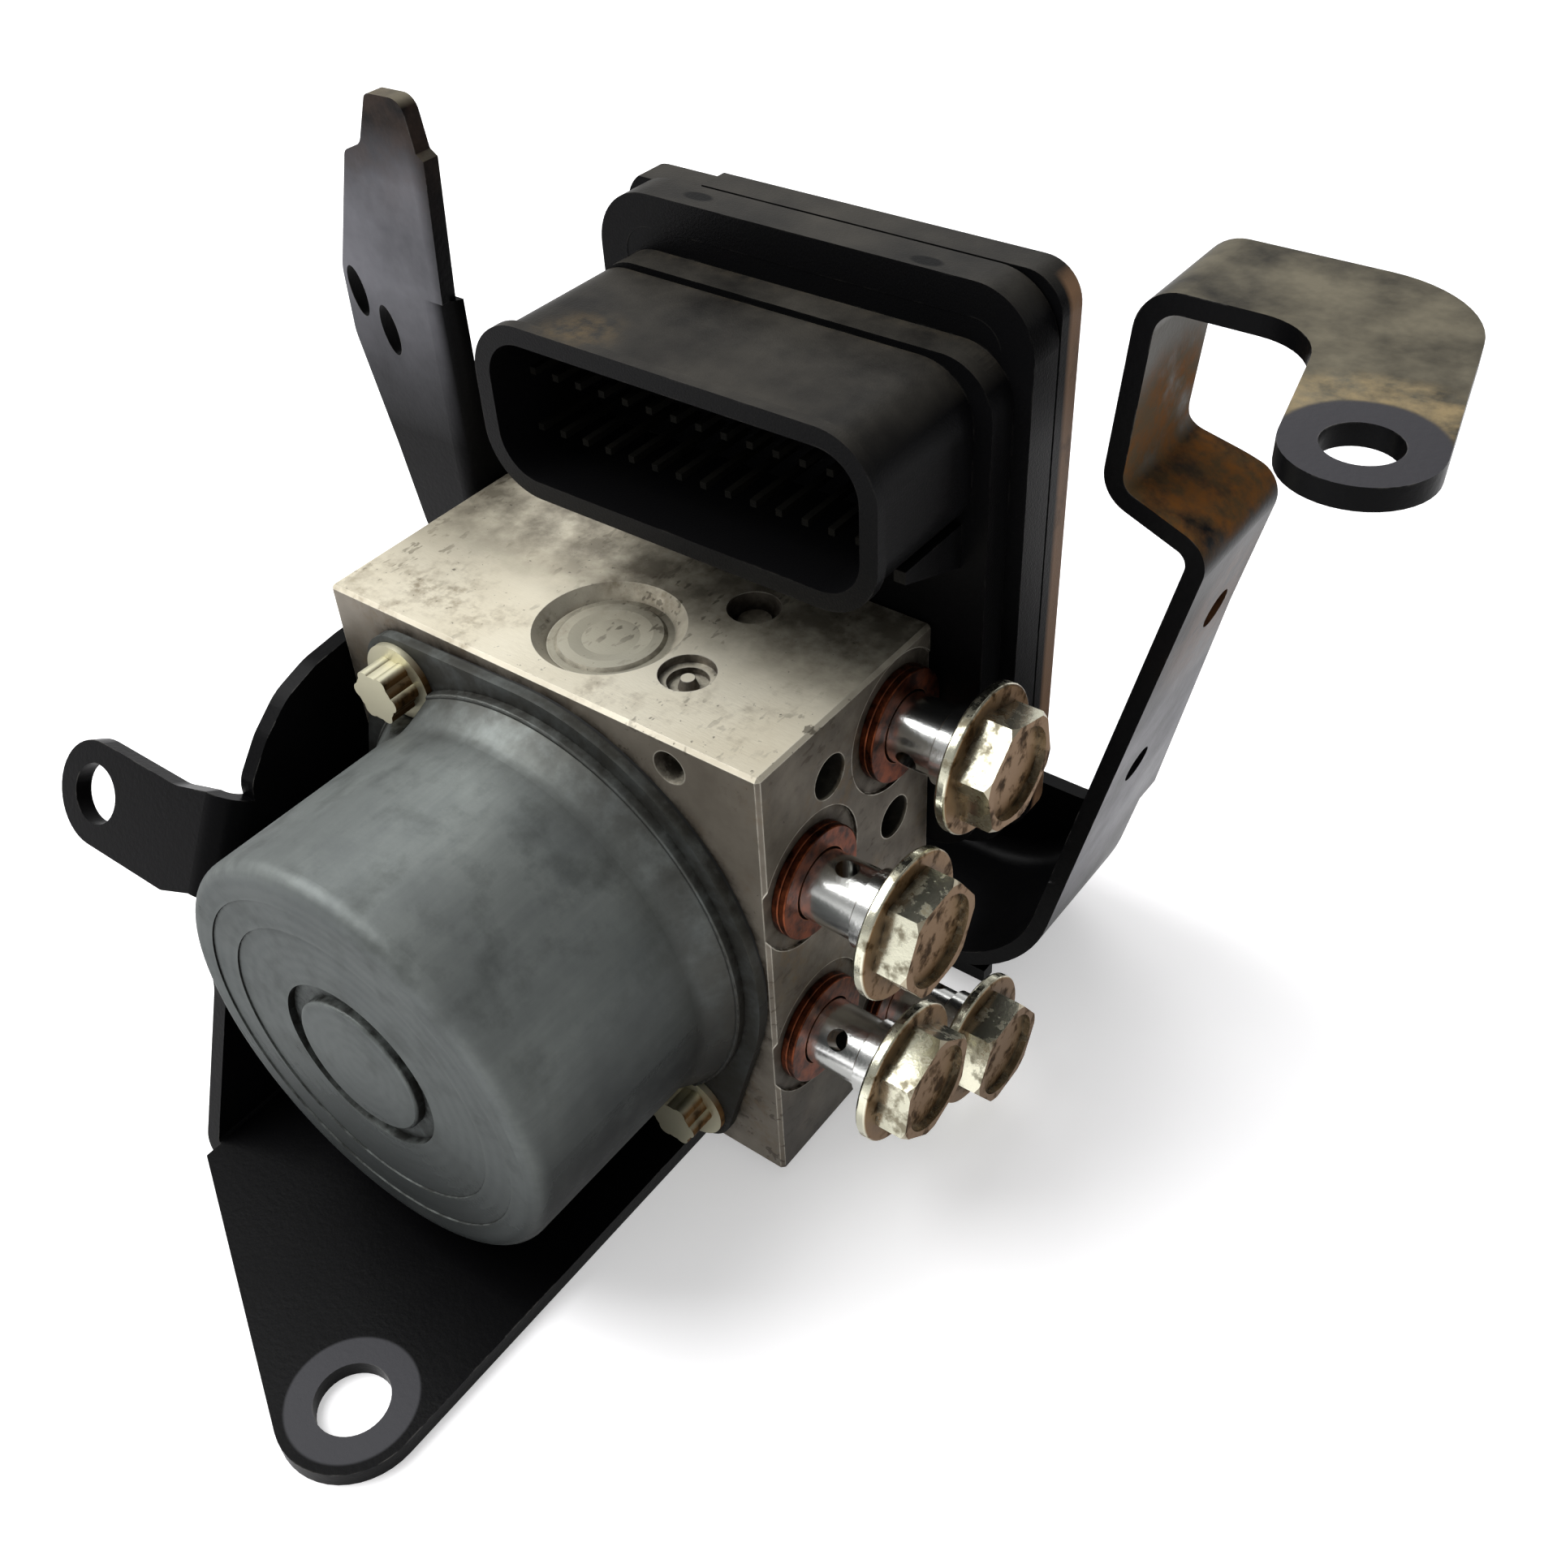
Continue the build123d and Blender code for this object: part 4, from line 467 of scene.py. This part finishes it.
def moulded_black():
    """Glass-filled nylon, moulded black: fine grain, dull gloss, tan dust in places, partly a
    painted sheen on top.
    """
    material, tree, place = start("moulded_black_nylon")
    up = together(tree, facing(tree, UP, 0.5, 0.95), past(tree, place, *CONTROL_UNIT_TOP))
    # Tan dust on the top, raised to stand in for sheen: partly painted sheen
    dust = together(tree, up, clouds(tree, place, 16, 0.25, 0.85))
    corner = together(
        tree, up, near(tree, place, *SOCKET_CORNER), clouds(tree, place, 3, 0.4, 0.6),
    )
    # A tan strip along the rear of the right side
    strip = together(
        tree, facing(tree, RIGHT, 0.5, 0.9), past(tree, place, *COVER_SIDE),
        clouds(tree, place, 8, 0.2, 0.5),
    )
    # Two shallow marks on the rim's top edge, ovals of a squeezed distance
    marks = [
        add(tree, "MapRange", None, {
            "Value": add(tree, "VectorMath", {"operation": "DISTANCE"}, {
                0: add(tree, "VectorMath", TIMES, {0: place, 1: MARK_SQUEEZE}),
                1: metres(value * squeeze for value, squeeze in zip(mark, MARK_SQUEEZE)),
            }, "Value"),
            "From Min": MARK_GONE * MM, "From Max": MARK_FULL * MM,
        }) for mark in RIM_MARKS
    ]
    dirt = together(tree, crevices(tree, 3.0), clouds(tree, place, 2.0, 0.4, 0.7), up)
    edges = together(tree, worn_edges(tree, 0.4), clouds(tree, place, 5.0, 0.5, 0.62))
    colour = laid(
        tree, paint("0B0B0C"), (together(tree, dust, 0.45), paint("625E56")),
        (together(tree, corner, 0.3), paint("7A6644")),
        (together(tree, strip, 0.85), paint("97765A")),
        (together(tree, dirt, 0.4), paint("4A4234")),
        (together(tree, edges, 0.15), paint("55534E")),
        (marks[0], paint("030303")), (marks[1], paint("030303")),
    )
    rough = add(tree, "Math", TIMES_PLUS, {0: dust, 1: 0.2, 2: 0.36})
    grain = clouds(tree, place, 0.3, 0.3, 0.7, 2.0)
    coat(tree, colour, rough, 0.0, grain, 0.014, **NYLON_GLOSS)
    return material


def plain_finish(name, first, second, metallic, rough, size=6.0, **more):
    """A plain finish: clouds of two near tones of one size and a fine relief."""
    material, tree, place = start(name)
    share = clouds(tree, place, size, 0.35, 0.7)
    colour = laid(tree, paint(first), (share, paint(second)))
    relief = clouds(tree, place, size / 15, 0.3, 0.7, 2.0)
    coat(tree, colour, rough, metallic, relief, 0.006, **more)
    return material


finishes = {
    "cast_aluminium": milled_aluminium(),
    "black_painted_steel": black_coat(),
    "motor_can_steel": drawn_zinc_steel(),
    "zinc_plated_steel": bright_zinc(),
    "copper": aged_copper(),
    "black_plastic": moulded_black(),
    # From here on: pieces held inside
    "plain_steel": plain_finish("ground_steel", "A9AAAB", "8E8F90", 1.0, 0.3),
    "spring_steel": plain_finish("drawn_spring_wire", "77787A", "5C5D5F", 1.0, 0.35),
    "copper_wire": plain_finish("enamelled_copper_wire", "9A4F24", "7B3B1A", 0.8, 0.35, 1.5),
    "bronze": plain_finish("sintered_bronze", "9C7A45", "7F6238", 1.0, 0.5),
    "ferrite": plain_finish("pressed_ferrite", "2B2B2D", "202022", 0.0, 0.7),
    "carbon": plain_finish("pressed_carbon", "1F1F20", "151516", 0.1, 0.6, 3.0),
    "brown_plastic": plain_finish("moulded_phenolic", "3A2618", "2C1C12", 0.0, 0.5),
    "black_rubber": plain_finish("moulded_rubber", "161616", "1E1E1D", 0.0, 0.7),
    "circuit_laminate": plain_finish("lacquered_laminate", "14512C", "0F3F22", 0.0, 0.35, 9.0),
    # Painted shade: the pins are coloured near black, dull and not metallic, as if dark deep in the
    # socket
    "tinned_brass": plain_finish("tinned_brass", "100F0C", "0A0A09", 0.0, 0.8, 2.0, **PIN_GLOSS),
}

slots = {part["node"]: part["material_slot"] for part in frame["record"]["subparts"]}
for name, piece in nodes.items():
    piece.data.materials.clear()
    piece.data.materials.append(finishes[slots[name]])


# ---- Control unit's front ---------------------------------------------------
def arc(centre, radius, first, last, steps=16):
    """Points on a circle: centre plus radius times (cosine, sine), from one angle to another."""
    angle = np.radians(np.linspace(first, last, steps))
    return np.array(centre) + radius * np.stack((np.cos(angle), np.sin(angle)), axis=1)


def prism(outline, front, back):
    """Outline of x, z points carried along Y: the same points at two depths, joined all round."""
    count = len(outline)
    points = np.zeros((2 * count, 3))
    points[:, 0::2] = np.concatenate((outline, outline))
    points[:, 1] = np.repeat((front, back), count)
    here = np.arange(count)
    after = (here + 1) % count
    sides = np.stack((after, here, here + count, after + count), axis=1)
    ends = [here.tolist(), (here[::-1] + count).tolist()]
    return points, sides.tolist() + ends


def front_cap():
    """Rounded top of the raised front, and the wall between it and the rim's edge.

    The band's section is carried round two quarter circles and the line between them; the wall
    is a rectangle with two quarter circles for its upper corners. Both stand 0.05 mm inside.
    """
    skin, wall, gap = 1.2, 1.1, 0.05
    wall_above, wall_below, wall_inset, wall_corner = 3.5, 2.2, 1.1, 4.0
    low = FRONT_TOP - FRONT_CORNER
    centres = ((FRONT_LEFT + FRONT_CORNER, low), (FRONT_RIGHT - FRONT_CORNER, low))
    outer = np.concatenate([
        arc(place, FRONT_CORNER - gap, first, first - 90)
        for place, first in zip(centres, (180, 90))
    ])
    inner = np.concatenate([
        arc(place, FRONT_CORNER - gap - skin, first, first - 90)
        for place, first in zip(centres, (180, 90))
    ])
    band = prism(np.concatenate((inner, outer[::-1])), FRONT_START, RIM_FRONT + wall)
    top, bottom = FRONT_TOP + wall_above, FRONT_TOP - wall_below
    left, right = FRONT_LEFT + wall_inset, FRONT_RIGHT - wall_inset
    plate = np.concatenate((
        [(left, bottom), (right, bottom)],
        arc((right - wall_corner, top - wall_corner), wall_corner, 0, 90),
        arc((left + wall_corner, top - wall_corner), wall_corner, 90, 180),
    ))
    plate = prism(plate, RIM_FRONT + gap, RIM_FRONT + gap + wall)
    points = np.concatenate((band[0], plate[0])) * MM
    faces = band[1] + [[index + len(band[0]) for index in face] for face in plate[1]]
    mesh = bpy.data.meshes.new("ecu_front_cap")
    mesh.from_pydata(points.tolist(), [], faces)
    mesh.materials.append(finishes["black_plastic"])
    piece = bpy.data.objects.new("ecu_front_cap", mesh)
    bpy.context.scene.collection.objects.link(piece)
    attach(piece, "module")


front_cap()


# ---- Floor, light and surroundings ------------------------------------------
FLOOR_REACH = 3.0
FLOOR_GLOW = 0.37
LAMP_TARGET = (0.0, 0.06, 0.06)


def background_rays(tree):
    """1 for rays that see the background: from the camera, off gloss or through glass."""
    share = 0.0
    for kind in ("Is Camera Ray", "Is Glossy Ray", "Is Transmission Ray"):
        share = add(tree, "Math", {"operation": "MAXIMUM"}, {
            0: share, 1: add(tree, "LightPath", output=kind),
        })
    return share


def floor_finish():
    """Matt white paper: pure white where it is lit, grey in the shadows."""
    material, tree, place = start("white_paper")
    faint = clouds(tree, place, 60, 0.2, 0.8, 3.0)
    colour = laid(tree, paint("F4F3F5"), (faint, paint("F8F7F8")))
    paper = add(tree, "BsdfPrincipled", None, {"Base Color": colour, "Roughness": 0.9})
    glow = add(tree, "Emission", None, {
        "Color": paint("FFFFFF"), "Strength": together(tree, background_rays(tree), FLOOR_GLOW),
    })
    both = add(tree, "AddShader", None, {0: paper, 1: glow})
    add(tree, "OutputMaterial", None, {"Surface": both})
    return material


floor_mesh = bpy.data.meshes.new("floor")
floor_mesh.from_pydata(
    [(x * FLOOR_REACH, y * FLOOR_REACH, 0) for x, y in ((-1, -1), (1, -1), (1, 1), (-1, 1))], [],
    [(0, 1, 2, 3)],
)
floor_mesh.materials.append(floor_finish())
floor = bpy.data.objects.new("floor", floor_mesh)
bpy.context.scene.collection.objects.link(floor)

world = bpy.data.worlds.new("studio")
bpy.context.scene.world = world
world.use_nodes = True
sky = world.node_tree
sky.nodes.clear()
height = add(sky, "SeparateXYZ", None, {0: add(sky, "TexCoord", output="Generated")}, "Z")
# White at the horizon, and a dim ceiling, so that black gloss stays black from above
shown_level = add(sky, "MapRange", None, {
    "Value": height, "From Min": 0.02, "From Max": 0.4, "To Min": 1.0, "To Max": 0.35,
})
lit_level = add(sky, "MapRange", None, {
    "Value": height, "From Min": 0.0, "From Max": 0.9, "To Min": 0.4, "To Max": 0.5,
})
level = add(sky, "Mix", {"data_type": "FLOAT"}, {
    0: background_rays(sky), 2: lit_level, 3: shown_level,
})
surround = add(sky, "Background", None, {"Color": paint("FFFFFF"), "Strength": level})
add(sky, "OutputWorld", None, {"Surface": surround})


def soft_box(name, place, target, width, power):
    """Square area lamp that looks at a target."""
    lamp = bpy.data.lights.new(name, "AREA")
    lamp.size = width
    lamp.energy = power
    made = bpy.data.objects.new(name, lamp)
    ahead = (Vector(target) - Vector(place)).normalized()
    aim = ahead.to_track_quat("-Z", "Y").to_matrix().to_4x4()
    made.matrix_world = Matrix.Translation(place) @ aim
    bpy.context.scene.collection.objects.link(made)


soft_box("window_lamp", (-0.52, -0.18, 0.86), LAMP_TARGET, width=0.8, power=12.0)
soft_box("rear_lamp", (-0.35, 0.6, 0.75), LAMP_TARGET, width=0.6, power=2.0)

bpy.context.scene.view_settings.view_transform = "Standard"
